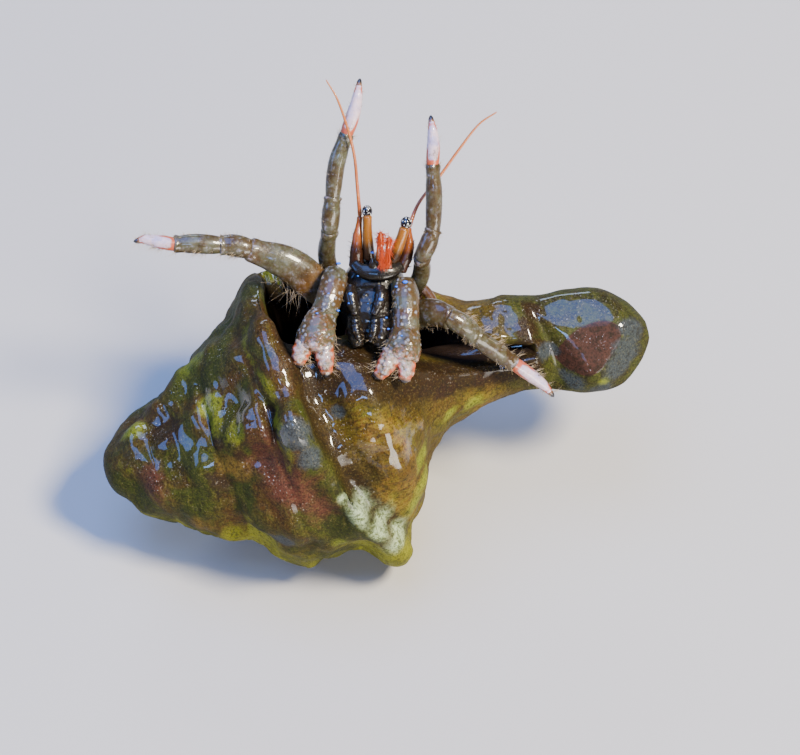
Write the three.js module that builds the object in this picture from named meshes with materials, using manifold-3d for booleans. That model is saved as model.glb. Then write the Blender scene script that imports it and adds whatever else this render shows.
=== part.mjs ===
// A small rock-pool hermit crab standing half out of a worn, knobbly sea-snail shell.
// Millimetres, +Z up. The shell lies on the knobs of its last two whorls, mouth upwards, with its
// point to the left (-X) and its canal to the right (+X); the crab leans out of it towards -Y.
import * as THREE from "three";
import { mergeVertices } from "three/addons/utils/BufferGeometryUtils.js";
import Module from "manifold-3d";

const wasm = await Module();
wasm.setup();

// ---- driving dimensions (mm, degrees) ------------------------------------------------------

const GAP = 0.1;                    // clearance left between neighbouring pieces
const SHELL_LENGTH = 35.4;          // point of the spire to the end of the canal
const SHELL_PITCH = 8.5;            // rise of the shell's axis towards the canal
const SHELL_YAW = 11.6;             // turn of the shell's axis away from -Y
const APEX = [-17.12, -3.49, 6.35];  // centre of the worn point of the spire
const WHORL_GROWTH = 1.48;          // growth of the spire from one whorl to the next
const KNOBS_PER_WHORL = 7.2;        // blunt knobs on each shoulder
const SPIRE_END = 12.0;             // the spire stops here along the axis
const BODY_END = 24.4;              // and the body whorl here, where the canal begins
const CRAB_LEAN = 50;               // the crab's back leans away from upright by this much
const MOUTH = [0.08, 0.41, 18.4];   // the point between the crab's mouthparts
const FEELER = 0.27;                // half thickness of a feeler's lash
const RAD = Math.PI / 180;

// ---- small maths ---------------------------------------------------------------------------

const clamp01 = (x) => Math.min(1, Math.max(0, x));
const smooth = (x) => clamp01(x) ** 2 * (3 - 2 * clamp01(x));
const mix = (a, b, t) => a + (b - a) * t;
const bump = (x, width) => Math.exp(-((x / width) ** 2));
const vec = (p) => new THREE.Vector3(...p);

// A smooth curve through a few [place, value] knots, flat beyond both ends.
function curve(knots) {
  const slope = (i) => {
    const a = knots[Math.max(i - 1, 0)];
    const b = knots[Math.min(i + 1, knots.length - 1)];
    return (b[1] - a[1]) / (b[0] - a[0]);
  };
  return (x) => {
    if (x <= knots[0][0]) return knots[0][1];
    const i = knots.findIndex((k) => x < k[0]) - 1;
    if (i < 0) return knots[knots.length - 1][1];
    const [[x0, y0], [x1, y1]] = [knots[i], knots[i + 1]];
    const h = x1 - x0;
    const t = (x - x0) / h;
    const bend = slope(i) * h * t * (1 - t) ** 2 - slope(i + 1) * h * t * t * (1 - t);
    return mix(y0, y1, t * t * (3 - 2 * t)) + bend;
  };
}

// ---- closed bodies from rings --------------------------------------------------------------

// Rings of equal length become one closed body. A ring of one point closes an end as a tip, and
// any other end ring is filled in as a flat cap.
function closedBody(rings) {
  const points = [];
  const faces = [];
  const start = rings.map((ring) => points.push(...ring) - ring.length);
  for (let i = 0; i + 1 < rings.length; i++) {
    const [a, b] = [rings[i].length, rings[i + 1].length];
    const n = Math.max(a, b);
    for (let j = 0; j < n; j++) {
      const k = (j + 1) % n;
      if (a > 1) faces.push([start[i] + j, start[i] + k, start[i + 1] + (b > 1 ? k : 0)]);
      if (b > 1) faces.push([start[i] + (a > 1 ? j : 0), start[i + 1] + k, start[i + 1] + j]);
    }
  }
  const cap = (ring, first, turned) => {
    if (ring.length < 2) return;
    const centre = ring.reduce((sum, p) => sum.add(p), new THREE.Vector3());
    centre.divideScalar(ring.length);
    const normal = new THREE.Vector3();
    ring.forEach((p, j) => {
      const q = ring[(j + 1) % ring.length];
      normal.add(p.clone().sub(centre).cross(q.clone().sub(centre)));
    });
    normal.normalize();
    const side = ring[0].clone().sub(centre).normalize();
    const other = normal.clone().cross(side);
    const flat = ring.map((p) => {
      const d = p.clone().sub(centre);
      return new THREE.Vector2(d.dot(side), d.dot(other));
    });
    for (const [p, q, r] of THREE.ShapeUtils.triangulateShape(flat, [])) {
      faces.push(turned ? [first + p, first + r, first + q] : [first + p, first + q, first + r]);
    }
  };
  cap(rings[0], start[0], true);
  cap(rings[rings.length - 1], start[rings.length - 1], false);
  const geometry = new THREE.BufferGeometry();
  geometry.setAttribute("position", new THREE.Float32BufferAttribute(
    points.flatMap((p) => [p.x, p.y, p.z]), 3));
  geometry.setIndex(faces.flat());
  if (volumeOf(geometry) < 0) geometry.setIndex(faces.map(([p, q, r]) => [p, r, q]).flat());
  return geometry;
}

function volumeOf(geometry) {
  const at = geometry.attributes.position;
  const [a, b, c] = [new THREE.Vector3(), new THREE.Vector3(), new THREE.Vector3()];
  let six = 0;
  for (let i = 0; i < geometry.index.count; i += 3) {
    a.fromBufferAttribute(at, geometry.index.getX(i));
    b.fromBufferAttribute(at, geometry.index.getX(i + 1));
    c.fromBufferAttribute(at, geometry.index.getX(i + 2));
    six += a.dot(b.cross(c));
  }
  return six / 6;
}

// ---- joins and cuts ------------------------------------------------------------------------

function toSolid(geometry) {
  return new wasm.Manifold(new wasm.Mesh({
    numProp: 3,
    vertProperties: Float32Array.from(geometry.attributes.position.array),
    triVerts: Uint32Array.from(geometry.index.array),
  }));
}

function toGeometry(solid) {
  const mesh = solid.getMesh();
  const geometry = new THREE.BufferGeometry();
  geometry.setAttribute("position", new THREE.Float32BufferAttribute(mesh.vertProperties, 3));
  geometry.setIndex([...mesh.triVerts]);
  return geometry;
}

const join = (...shapes) => toGeometry(shapes.map(toSolid).reduce((a, b) => a.add(b)));
const cut = (shape, ...tools) => toGeometry(
  tools.map(toSolid).reduce((a, b) => a.subtract(b), toSolid(shape)));

// ---- the crab's own directions -------------------------------------------------------------

const lean = CRAB_LEAN * RAD;
const TO_LEFT = vec([1, 0, 0]);
const TO_BACK = vec([0, Math.sin(lean), Math.cos(lean)]);
const TO_FRONT = vec([0, -Math.cos(lean), Math.sin(lean)]);

// A point given as [towards its left, towards its back, forward] from its mouth.
function onCrab([left, back, front]) {
  return vec(MOUTH).addScaledVector(TO_LEFT, left).addScaledVector(TO_BACK, back)
    .addScaledVector(TO_FRONT, front);
}

// A limb piece: an oval section carried along a bent line, rounded at both ends.
//   line    the middle line's knots, on the crab
//   size    half width across the front, from base to tip, as [place 0..1, half width] knots
//   flat    half depth over half width
//   blunt   how square the ends are, as a share of the half width
//   facing  the way its front looks
function limb({ line, size, flat = 1, blunt = [0.5, 0.45], grow = 0, sides = 8, steps = 6,
  facing = TO_FRONT }) {
  const knots = line.map((p) => p.isVector3 ? p : onCrab(p));
  const path = new THREE.CatmullRomCurve3(knots, false, "centripetal");
  const width = curve(size);
  const length = path.getLength();
  const rings = [[path.getPointAt(0)]];
  for (let i = 0; i < steps; i++) {
    const t = (1 - Math.cos(Math.PI * (i + 0.5) / steps)) / 2;
    const along = path.getTangentAt(t);
    const wide = along.clone().cross(facing).normalize();
    const deep = wide.clone().cross(along).normalize();
    const roundOff = (reach, share) => {
      const x = clamp01(reach / (share * width(t)));
      return (1 - (1 - x) ** 2.4) ** (1 / 2.4);
    };
    const round = roundOff(t * length, blunt[0]) * roundOff((1 - t) * length, blunt[1]);
    const half = width(t) * round + grow;
    const centre = path.getPointAt(t);
    rings.push(Array.from({ length: sides }, (_, j) => {
      const a = 2 * Math.PI * j / sides;
      return centre.clone().addScaledVector(wide, half * Math.cos(a))
        .addScaledVector(deep, (width(t) * flat * round + grow) * Math.sin(a));
    }));
  }
  rings.push([path.getPointAt(1)]);
  if (grow > 0) {
    rings[0][0].addScaledVector(path.getTangentAt(0), -grow);
    rings[rings.length - 1][0].addScaledVector(path.getTangentAt(1), grow);
  }
  return closedBody(rings);
}

// ---- the snail shell -----------------------------------------------------------------------

const AXIS = vec([
  Math.cos(SHELL_PITCH * RAD) * Math.cos(SHELL_YAW * RAD),
  Math.cos(SHELL_PITCH * RAD) * Math.sin(SHELL_YAW * RAD),
  Math.sin(SHELL_PITCH * RAD),
]);
const SHELL_UP = vec([0, 0, 1]).addScaledVector(AXIS, -AXIS.z).normalize();
const SHELL_NEAR = AXIS.clone().cross(SHELL_UP);

// A point at a place along the axis, a distance from it, and a turn from the top towards -Y.
function onShell(along, radius, turn) {
  const sag = canalBend(along);
  return vec(APEX).addScaledVector(AXIS, along)
    .addScaledVector(SHELL_UP, radius * Math.cos(turn * RAD) + sag * Math.cos(50 * RAD))
    .addScaledVector(SHELL_NEAR, radius * Math.sin(turn * RAD) - sag * Math.sin(50 * RAD));
}

// Half width of the shell on its upper far side and on its lower near side.
const farSide = curve([[0, 0.3], [0.12, 0.85], [0.4, 1.35], [0.9, 1.8], [1.6, 2.15], [3, 2.7],
  [5.4, 3.9], [7.3, 5.4], [9.2, 6.5], [11, 8.4], [13, 9.3], [15, 9.3], [17, 8.7], [19, 7.6],
  [21, 6.3], [23, 4.9], [25, 3.6], [27, 3.1], [29, 3.0], [31, 3.4], [33, 3.2], [34.5, 2.1],
  [35.2, 1.0], [35.4, 0.5]]);
const nearSide = curve([[0, 0.3], [0.12, 0.9], [0.4, 1.5], [0.9, 2.0], [1.6, 2.6], [3, 3.5],
  [5.4, 5.0], [8.3, 6.2], [10.5, 8.0], [12, 8.4], [14.2, 8.6], [16, 9.2], [17.8, 8.9], [19.1, 7.4],
  [19.8, 5.4], [20.6, 4.0], [21.6, 3.3], [23, 3.0], [25, 2.9], [27, 2.9], [29, 3.0], [31, 3.3],
  [33, 3.1], [34.5, 2.0], [35.2, 1.0], [35.4, 0.5]]);
// The canal bends a little towards the far side, away from the axis.
const canalBend = curve([[18, 0], [21, 0.4], [24, 1.0], [27, 1.35], [30, 0.7], [33, 0.35], [35.4, 0.2]]);

// The last whorl's shoulder runs round the shell at this place along the axis.
const lastShoulder = curve([[-50, 12.3], [-17, 12.5], [28, 13.0], [53, 13.6], [76, 14.7], [96, 16.0],
  [111, 16.9], [140, 17.6], [180, 17.8], [250, 17.8], [310, 17.4]]);

// Big knobs and dents of this shell: [along, turn, length, breadth, height].
const KNOBS = [[9.3, 36, 1.9, 1.7, 0.95], [12.5, 40, 1.1, 1.7, 0.75], [8.2, -18, 1.6, 1.6, 0.8],
  [9.3, 84, 1.3, 1.5, 0.55], [10.7, 130, 1.2, 1.5, 0.6], [6.1, 128, 1.3, 1.4, 0.3],
  [16.4, 122, 1.0, 1.5, 0.55], [2.6, -4, 0.6, 0.7, 0.3], [5.6, 52, 1.1, 1.5, 0.45],
  [5.4, 10, 1.0, 1.2, 0.35], [6.4, 90, 1.1, 1.3, 0.35], [3.2, 80, 0.8, 1.0, 0.25],
  [11.2, 8, 1.5, 1.5, 0.6], [9.6, 28, 1.1, 0.45, 0.3], [9.5, 49, 1.0, 0.7, -0.6], [9.4, 37, 1.0, 0.8, 0.6],
  [7.4, 26, 0.5, 1.8, -0.5], [11.1, 34, 0.45, 2.2, -0.65], [12.6, 66, 0.7, 1.2, -0.3],
  [13.9, 92, 1.2, 1.6, 0.45], [12.2, 108, 1.0, 1.4, 0.3], [26.9, -14, 1.4, 1.3, 0.55],
  [29.2, -30, 1.6, 1.5, 0.25]];
// Flat faces of the knob at the canal's end: [direction along, to the viewer, down], distance.
const FACETS = [[[0, 1, 0], 2.5], [[0.62, 0.56, 0.55], 2.9], [[-0.62, 0.72, 0.30], 2.5],
  [[0.05, 0.89, -0.46], 2.75]];
const FIRST_SHOULDER = 12.3;        // where the last whorl's shoulder starts
const LAST_STEP = 0.9;              // drop of the low step after the last shoulder

// The turn brought into -50..310, from where the last whorl starts to where it ends.
const wrapped = (turn) => ((turn + 50) % 360 + 360) % 360 - 50;

function bigKnobs(along, turn, radius) {
  return KNOBS.reduce((total, [place, angle, length, breadth, height]) => {
    const across = (((turn - angle + 180) % 360 + 360) % 360 - 180) * RAD * radius;
    return total + height * bump(along - place, length) * bump(across, breadth);
  }, 0);
}

// The canal's end cut flat: the half width where each plane is met, eased by a soft minimum.
function cutFacets(along, turn, radius) {
  const a = (turn - 40) * RAD;
  const share = smooth((along - 28) / 1.5);
  for (const [[ahead, near, down], distance] of FACETS) {
    const facing = near * Math.cos(a) + down * Math.sin(a);
    if (facing <= 0.05) continue;
    const gap = radius - (distance - ahead * (along - 31.2)) / facing;
    radius -= share * 0.5 * (gap + Math.sqrt(gap ** 2 + 0.08));
  }
  return Math.max(radius, 0.3);
}

function outerRadius(along, turn) {
  const t = wrapped(turn);
  const toNear = (1 - Math.cos((t + 50) * RAD)) / 2;
  const plain = mix(farSide(along), nearSide(along), toNear);
  const wave = (whorl) => 0.5 + 0.5 * Math.cos((t - 42 - 360 * whorl) * RAD * KNOBS_PER_WHORL);
  let rise = 0.38 * (1 - smooth((along - 11) / 4)) * smooth(along / 3) + bigKnobs(along, t, plain);
  // the spire's shoulders, each with its knobs and the seam that follows it
  for (let whorl = 1; whorl <= 4; whorl++) {
    const shoulder = FIRST_SHOULDER * WHORL_GROWTH ** ((t - 310) / 360 - whorl + 1);
    const size = shoulder / FIRST_SHOULDER;
    rise += size * (0.06 + 0.22 * wave(whorl)) * bump(along - shoulder, 1.7 * size);
    rise -= size * 0.24 * bump(along - shoulder * 1.19, 0.55 * size);
  }
  // the last shoulder: knobs before it, a low step after it
  const last = lastShoulder(t);
  const fade = 1 - smooth((t - 230) / 70);
  rise += fade * (0.35 + 0.35 * wave(0)) * bump(along - last + 0.8, 1.2);
  const step = smooth((along - last) / 0.45) * (1 - smooth((along - last - 1.5) / 3));
  return cutFacets(along, turn, Math.max(plain + rise - fade * LAST_STEP * step, 0.3));
}

// The mouth of the shell: where its near rim and its far lip lie round the axis, and how deep
// the hollow goes in. "open" is 0 on plain shell and 1 in the full mouth.
const nearRim = curve([[12.4, -2], [13.2, 8], [15, 16], [17, 21], [20, 26], [22, 38], [24, 50], [26, 62], [28, 58]]);
const farLip = curve([[12.4, -40], [13.2, -50], [15, -57], [18, -62], [21, -58], [22.5, -40], [24, -10], [26, 22],
  [28, 36]]);
const hollowBack = curve([[13, -120], [17, -160], [20, -150], [22, -90], [24, -25], [28, 30]]);
const coreRadius = curve([[12.6, 3.6], [16, 3.0], [20, 2.5], [22, 1.9], [24, 1.5], [28, 1.7]]);
const WALL = 0.95;
const openness = (along) => smooth((along - 12.3) / 0.7) * (1 - smooth((along - 27.4) / 1.2));

const OUTER_STEPS = 22;
const HOLLOW_STEPS = 17;

// One section across the shell: the long way round outside from the near rim to the far lip,
// then in under the lip, round the back of the hollow and out over the core to the near rim.
function shellSection(along) {
  const near = nearRim(along);
  const lip = farLip(along) + 360;
  const back = hollowBack(along) + 360;
  const open = openness(along);
  const ring = [];
  for (let j = 0; j < OUTER_STEPS; j++) {
    const turn = mix(near, lip, j / (OUTER_STEPS - 1));
    ring.push(onShell(along, outerRadius(along, turn), turn));
  }
  for (let j = 1; j < HOLLOW_STEPS; j++) {
    const p = j / HOLLOW_STEPS;
    const shut = mix(lip, near + 360, p);
    const plain = onShell(along, outerRadius(along, shut), shut);
    const wall = Math.min(WALL, 0.35 * outerRadius(along, lip));
    let turn = 0;
    let radius = 0;
    if (p < 0.4) {
      turn = mix(lip, back, p / 0.4);
      radius = outerRadius(along, turn) - wall * smooth(p / 0.05);
    } else {
      const q = (p - 0.4) / 0.6;
      turn = mix(back, near + 360, q);
      const rise = smooth((q - 0.6) / 0.46);
      radius = mix(coreRadius(along), outerRadius(along, near) - 0.15, rise);
      if (q < 0.04) radius = mix(coreRadius(along), outerRadius(along, turn) - wall, 0.5);
    }
    ring.push(plain.lerp(onShell(along, radius, turn), open));
  }
  return ring;
}

const plainSection = (along, sides) => Array.from({ length: sides }, (_, j) => {
  const turn = 360 * j / sides;
  return onShell(along, outerRadius(along, turn), turn);
});

// What would reach below the floor is worn flat there, which is what the shell lies on.
function wearFlat(rings) {
  rings.flat().forEach((p) => { p.z = Math.max(p.z, 0); });
  return closedBody(rings);
}

const stations = (from, to, count) => Array.from({ length: count + 1 }, (_, i) =>
  mix(from, to, i / count));

function shellSpire() {
  const rings = [0.12, 0.45, ...stations(1.1, SPIRE_END, 13)].map((s) => plainSection(s, 24));
  return wearFlat([[onShell(0, 0, 0)], ...rings]);
}

function shellBodyWhorl() {
  const rings = stations(SPIRE_END + GAP, BODY_END, 20).map(shellSection);
  return wearFlat(rings);
}

function shellCanal() {
  const rings = stations(BODY_END + GAP, 29.2, 5).map(shellSection);
  return closedBody(rings);
}

function shellCanalEnd() {
  const rings = [...stations(29.2 + GAP, 34.8, 6), 35.2].map((along) => plainSection(along, 20));
  return closedBody([...rings, [onShell(SHELL_LENGTH, 0, 0)]]);
}

// ---- the crab's limbs ----------------------------------------------------------------------

// A chain of pieces named from base to tip. Each piece is cut clear of the one before it.
function chain(prefix, pieces) {
  return pieces.map((piece, i) => {
    const own = limb(piece);
    const shape = piece.extra ? join(own, ...piece.extra.map(limb)) : own;
    const before = i > 0 ? [limb({ ...pieces[i - 1], grow: GAP })] : [];
    const clear = [...before, ...(piece.clearOf ?? []).map((other) => limb({ ...other, grow: GAP }))];
    const name = `${prefix}_${piece.name}`;
    return [name, clear.length ? cut(shape, ...clear) : shape, piece.look];
  });
}

const WAIST = (a, b, c) => [[0, a * 0.8], [0.25, b], [0.7, b], [1, c]];

// The trunk's middle line runs from the face back and down into the shell.
const trunk = { line: [[-0.5, 0.3, -0.4], [-0.35, 0.35, -2.6], [-0.2, -0.1, -4.6], [0, -0.8, -5.9]],
  size: [[0, 1.6], [0.3, 2.0], [0.7, 1.95], [1, 1.4]], flat: 1.35, sides: 16, steps: 8,
  blunt: [0.55, 0.6], facing: TO_BACK.clone().addScaledVector(TO_LEFT, 0.2).normalize() };

const armRight = { line: [[-2.6, -0.5, -2.2], [-2.8, 0.9, -1.5], [-2.65, 1.8, -0.6]],
  size: WAIST(0.6, 0.62, 0.65), clearOf: [trunk] };
const armLeft = { line: [[1.9, -1.0, -2.2], [1.95, 0.2, -1.5], [1.65, 1.1, -0.6]],
  size: WAIST(0.6, 0.62, 0.65), clearOf: [trunk] };

// The two claws are alike: they hang in front of the mouth with the fingers pointing down.
const rightClaw = [
  { name: "arm", look: "limb", ...armRight },
  { name: "wrist", look: "claw", line: [[-2.5, 1.75, -0.35], [-2.8, 0.7, 0.35], [-3.3, -0.85, 0.7]],
    size: WAIST(0.7, 0.82, 0.85), flat: 0.9 },
  { name: "palm", look: "claw", line: [[-3.3, -0.8, 0.7], [-3.65, -1.8, 1.1], [-3.95, -3.1, 1.4]],
    size: [[0, 0.75], [0.35, 1.0], [0.75, 1.2], [1, 1.15]], flat: 0.75,
    extra: [{ line: [[-4.3, -2.5, 1.3], [-4.75, -3.3, 1.5], [-4.88, -4.2, 1.5]],
      size: [[0, 0.55], [0.5, 0.5], [1, 0.3]], steps: 6, sides: 8 }] },
  { name: "finger", look: "claw", line: [[-3.5, -2.75, 1.4], [-3.2, -3.7, 1.65], [-3.1, -4.75, 1.7]],
    size: [[0, 0.5], [0.5, 0.55], [1, 0.33]], flat: 0.9 },
];
const leftClaw = [
  { name: "arm", look: "limb", ...armLeft },
  { name: "wrist", look: "claw", line: [[1.5, 1.1, -0.35], [1.75, -0.1, 0.4], [1.78, -1.9, 0.75]],
    size: WAIST(0.7, 0.85, 0.85), flat: 0.9 },
  { name: "palm", look: "claw", line: [[1.78, -1.85, 0.75], [1.65, -2.7, 1.1], [1.35, -3.75, 1.3]],
    size: [[0, 0.75], [0.35, 0.98], [0.75, 1.05], [1, 1.0]], flat: 0.8,
    extra: [{ line: [[1.7, -3.3, 1.2], [1.72, -4.2, 1.35], [1.45, -5.15, 1.4]],
      size: [[0, 0.5], [0.5, 0.5], [1, 0.3]], steps: 6, sides: 8 }] },
  { name: "finger", look: "claw", line: [[1.0, -3.5, 1.35], [0.35, -4.25, 1.55], [-0.2, -4.9, 1.6]],
    size: [[0, 0.5], [0.5, 0.48], [1, 0.3]], flat: 0.9 },
];

// The first walking legs are lifted, one beside each eye.
const rightFrontLeg = [
  { name: "thigh", look: "limb", line: [[-2.7, 1.1, -3.5], [-3.15, 2.7, -2.0], [-2.95, 4.35, -0.1]],
    size: WAIST(0.5, 0.55, 0.5), flat: 1.1, clearOf: [trunk] },
  { name: "knee", look: "limb", line: [[-2.95, 4.4, 0], [-2.85, 5.4, 0.35], [-2.75, 6.4, 0.5]],
    size: WAIST(0.45, 0.56, 0.52) },
  { name: "shin", look: "limb", line: [[-2.75, 6.4, 0.5], [-2.5, 8.4, 0.9], [-1.9, 10.25, 1.2]],
    size: WAIST(0.45, 0.52, 0.42) },
  { name: "foot", look: "foot", line: [[-1.9, 10.25, 1.2], [-1.45, 11.5, 1.5], [-1.22, 12.5, 1.7],
    [-1.08, 13.6, 1.6]], size: [[0, 0.38], [0.3, 0.44], [0.75, 0.33], [1, 0.25]] },
];
const leftFrontLeg = [
  { name: "thigh", look: "limb", line: [[2.2, 0.6, -3.8], [2.7, 1.6, -2.2], [2.75, 2.7, -0.2]],
    size: WAIST(0.5, 0.55, 0.5), flat: 1.1, clearOf: [trunk] },
  { name: "knee", look: "limb", line: [[2.75, 2.75, -0.1], [3.15, 3.5, 0.15], [3.45, 4.4, 0.3]],
    size: WAIST(0.45, 0.55, 0.5) },
  { name: "shin", look: "limb", line: [[3.45, 4.4, 0.3], [3.5, 6.4, 0.7], [3.4, 8.4, 1.0]],
    size: WAIST(0.45, 0.5, 0.4) },
  { name: "foot", look: "foot", line: [[3.4, 8.4, 1.0], [3.45, 9.6, 1.3], [3.4, 10.4, 1.45],
    [3.3, 11.35, 1.4]], size: [[0, 0.36], [0.3, 0.42], [0.75, 0.32], [1, 0.25]] },
];

// The second walking legs reach out sideways, the left one down along the shell's canal.
const rightRearLeg = [
  { name: "thigh", look: "limb", line: [[-3.1, 0.2, -1.9], [-5.4, 2.2, -1.0], [-8.05, 3.2, -0.5]],
    size: [[0, 0.8], [0.35, 1.15], [0.7, 0.95], [1, 0.6]], flat: 0.55, clearOf: [trunk, armRight] },
  { name: "knee", look: "limb", line: [[-8.1, 3.2, -0.5], [-8.9, 3.4, -0.4], [-9.75, 3.4, -0.3]],
    size: WAIST(0.6, 0.68, 0.6), flat: 0.8 },
  { name: "shin", look: "limb", line: [[-9.75, 3.4, -0.3], [-11.2, 3.5, -0.1], [-12.6, 3.45, 0]],
    size: WAIST(0.5, 0.6, 0.5), flat: 0.8 },
  { name: "foot", look: "foot", line: [[-12.6, 3.45, 0], [-13.7, 3.65, 0.1], [-14.4, 3.75, 0.1],
    [-14.95, 3.65, 0]], size: [[0, 0.4], [0.3, 0.44], [0.75, 0.34], [1, 0.25]] },
];
const leftRearLeg = [
  { name: "thigh", look: "limb", line: [[2.3, -0.9, -3.0], [3.4, -0.75, -1.5], [4.6, -1.1, -0.7]],
    size: WAIST(0.7, 0.85, 0.65), flat: 0.7,
    clearOf: [trunk, armLeft] },
  { name: "knee", look: "limb", line: [[4.6, -1.1, -0.7], [5.4, -1.6, -0.9], [6.15, -2.3, -1.4]],
    size: WAIST(0.6, 0.65, 0.6), flat: 0.8 },
  { name: "shin", look: "limb", line: [[6.15, -2.3, -1.4], [7.3, -3.1, -2.2], [8.5, -3.9, -3.0]],
    size: WAIST(0.5, 0.58, 0.5), flat: 0.8 },
  { name: "foot", look: "foot", line: [[8.5, -3.9, -3.0], [9.5, -4.6, -3.5], [10.3, -5.2, -3.8],
    [10.95, -5.9, -4.1]], size: [[0, 0.4], [0.3, 0.44], [0.75, 0.34], [1, 0.25]] },
];

// ---- the crab's body -----------------------------------------------------------------------

// The back of the trunk is a hard shield in front and softer behind; both are plates over the
// chest, split along planes across the crab.
const SHIELD_BACK = -3.9;
const SHIELD_EDGE = 1.0;
const REAR_EDGE = -0.3;
const BACK_PLATE = 0.4;
const TRUNK_REACH = 6;              // farther to each side than the trunk goes

function slabAbove(edge, from, to) {
  const outline = [[-TRUNK_REACH, edge], [TRUNK_REACH, edge], [TRUNK_REACH, 8], [-TRUNK_REACH, 8]];
  return toSolid(closedBody([from, to].map((front) =>
    outline.map(([left, back]) => onCrab([left, back, front])))));
}

function trunkPieces() {
  const thinner = (by) => toSolid(limb({ ...trunk, size: trunk.size.map(([t, w]) => [t, w - by]) }));
  const whole = toSolid(limb(trunk));
  const plate = whole.subtract(thinner(BACK_PLATE));
  const shield = plate.intersect(slabAbove(SHIELD_EDGE, SHIELD_BACK, 1));
  const rear = plate.intersect(slabAbove(REAR_EDGE, -9, SHIELD_BACK - GAP));
  const chest = whole.subtract(slabAbove(SHIELD_EDGE - GAP, SHIELD_BACK - GAP, 1))
    .subtract(slabAbove(REAR_EDGE - GAP, -9, SHIELD_BACK)).add(thinner(BACK_PLATE + GAP));
  return [
    ["carapace_shield", toGeometry(shield), "back"],
    ["carapace_rear", toGeometry(rear), "soft"],
    ["chest", toGeometry(chest), "limb"],
  ];
}

// The soft tail curls on from the chest under the shell's far wall.
function tailPieces() {
  const line = [[18.6, 4.6, -62], [18.2, 5.3, -85], [17.4, 5.5, -110], [16.4, 5.5, -135]];
  const root = { line: line.map((p) => onShell(...p)), sides: 10, steps: 7,
    size: [[0, 1.2], [0.3, 1.35], [0.8, 1.1], [1, 0.7]], facing: SHELL_UP, blunt: [0.7, 0.9] };
  return [["abdomen", cut(limb(root), limb({ ...trunk, grow: GAP })), "soft"]];
}

// ---- the head ------------------------------------------------------------------------------

const stalks = {
  right: { line: [[-0.5, 2.5, -0.6], [-0.6, 4.1, 0.05], [-0.62, 5.25, 0.3]],
    size: [[0, 0.37], [0.3, 0.34], [0.8, 0.29], [1, 0.31]] },
  left: { line: [[0.85, 2.3, -0.6], [1.4, 3.6, 0.05], [1.7, 4.5, 0.3]],
    size: [[0, 0.4], [0.3, 0.38], [0.8, 0.33], [1, 0.34]] },
};
const eyes = {
  right: { centre: [-0.63, 5.5, 0.36], radius: 0.31 },
  left: { centre: [1.78, 4.77, 0.36], radius: 0.34 },
};
const feelerBases = {
  right: { line: [[-1.3, 2.0, -0.9], [-1.25, 3.6, -0.4], [-1.08, 5.2, -0.3]],
    size: [[0, 0.42], [0.5, 0.36], [1, 0.27]] },
  left: { line: [[1.3, 1.8, -1.2], [1.95, 3.2, -1.0], [1.95, 4.5, -0.75]],
    size: [[0, 0.42], [0.5, 0.36], [1, 0.27]] },
};
const feelers = {
  right: [[-1.07, 5.3, -0.3], [-1.25, 7.2, 0.4], [-1.4, 8.8, 1.5], [-1.75, 10.3, 2.2],
    [-2.45, 12.3, 2.6], [-3.15, 13.5, 2.7]],
  left: [[1.96, 4.65, -0.77], [2.55, 6.0, -0.9], [3.9, 7.75, -0.9], [5.1, 9.4, -0.6],
    [6.3, 10.9, -0.3], [7.4, 11.6, -0.1]],
};
const smallFeelers = {
  right: [[0.0, 2.4, -0.5], [0.1, 3.8, 0.3], [0.2, 4.15, 0.7], [0.25, 3.4, 1.05], [0.3, 2.3, 1.1]],
  left: [[0.5, 2.4, -0.5], [0.66, 3.6, 0.3], [0.74, 3.85, 0.7], [0.74, 3.2, 1.05], [0.78, 2.4, 1.1]],
};
const jaws = {
  right: { line: [[-1.3, -0.7, -0.2], [-1.4, -1.7, 0.25], [-1.15, -2.9, 0.3]],
    size: WAIST(0.5, 0.5, 0.35), clearOf: [trunk] },
  left: { line: [[0.25, -0.9, -0.2], [0.3, -1.8, 0.25], [0.0, -2.9, 0.3]],
    size: WAIST(0.5, 0.5, 0.35), clearOf: [trunk] },
};

function ball({ centre, radius }, grow = 0) {
  const shape = new THREE.SphereGeometry(radius + grow, 10, 7);
  shape.deleteAttribute("normal");
  shape.deleteAttribute("uv");
  const middle = onCrab(centre);
  return mergeVertices(shape.translate(middle.x, middle.y, middle.z));
}

function headPieces(side) {
  const clearOfTrunk = limb({ ...trunk, grow: GAP });
  const grown = (piece) => limb({ ...piece, grow: GAP });
  const lash = { line: feelers[side], size: [[0, FEELER], [1, FEELER * 0.93]], sides: 6, steps: 12 };
  const small = { line: smallFeelers[side], size: [[0, 0.28], [1, 0.26]], sides: 7, steps: 10,
    facing: TO_LEFT };
  return [
    [`eye_stalk_${side}`, cut(limb(stalks[side]), clearOfTrunk, ball(eyes[side], GAP / 2)), "stalk"],
    [`eye_${side}`, ball(eyes[side]), "eye"],
    [`feeler_base_${side}`, cut(limb(feelerBases[side]), clearOfTrunk, grown(stalks[side])), "orange"],
    [`feeler_${side}`, cut(limb(lash), grown(feelerBases[side])), "orange"],
    [`small_feeler_${side}`, cut(limb(small), clearOfTrunk, grown(stalks[side])), "orange"],
    [`jaw_leg_${side}`, cut(limb(jaws[side]), clearOfTrunk), "limb"],
  ];
}

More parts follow.
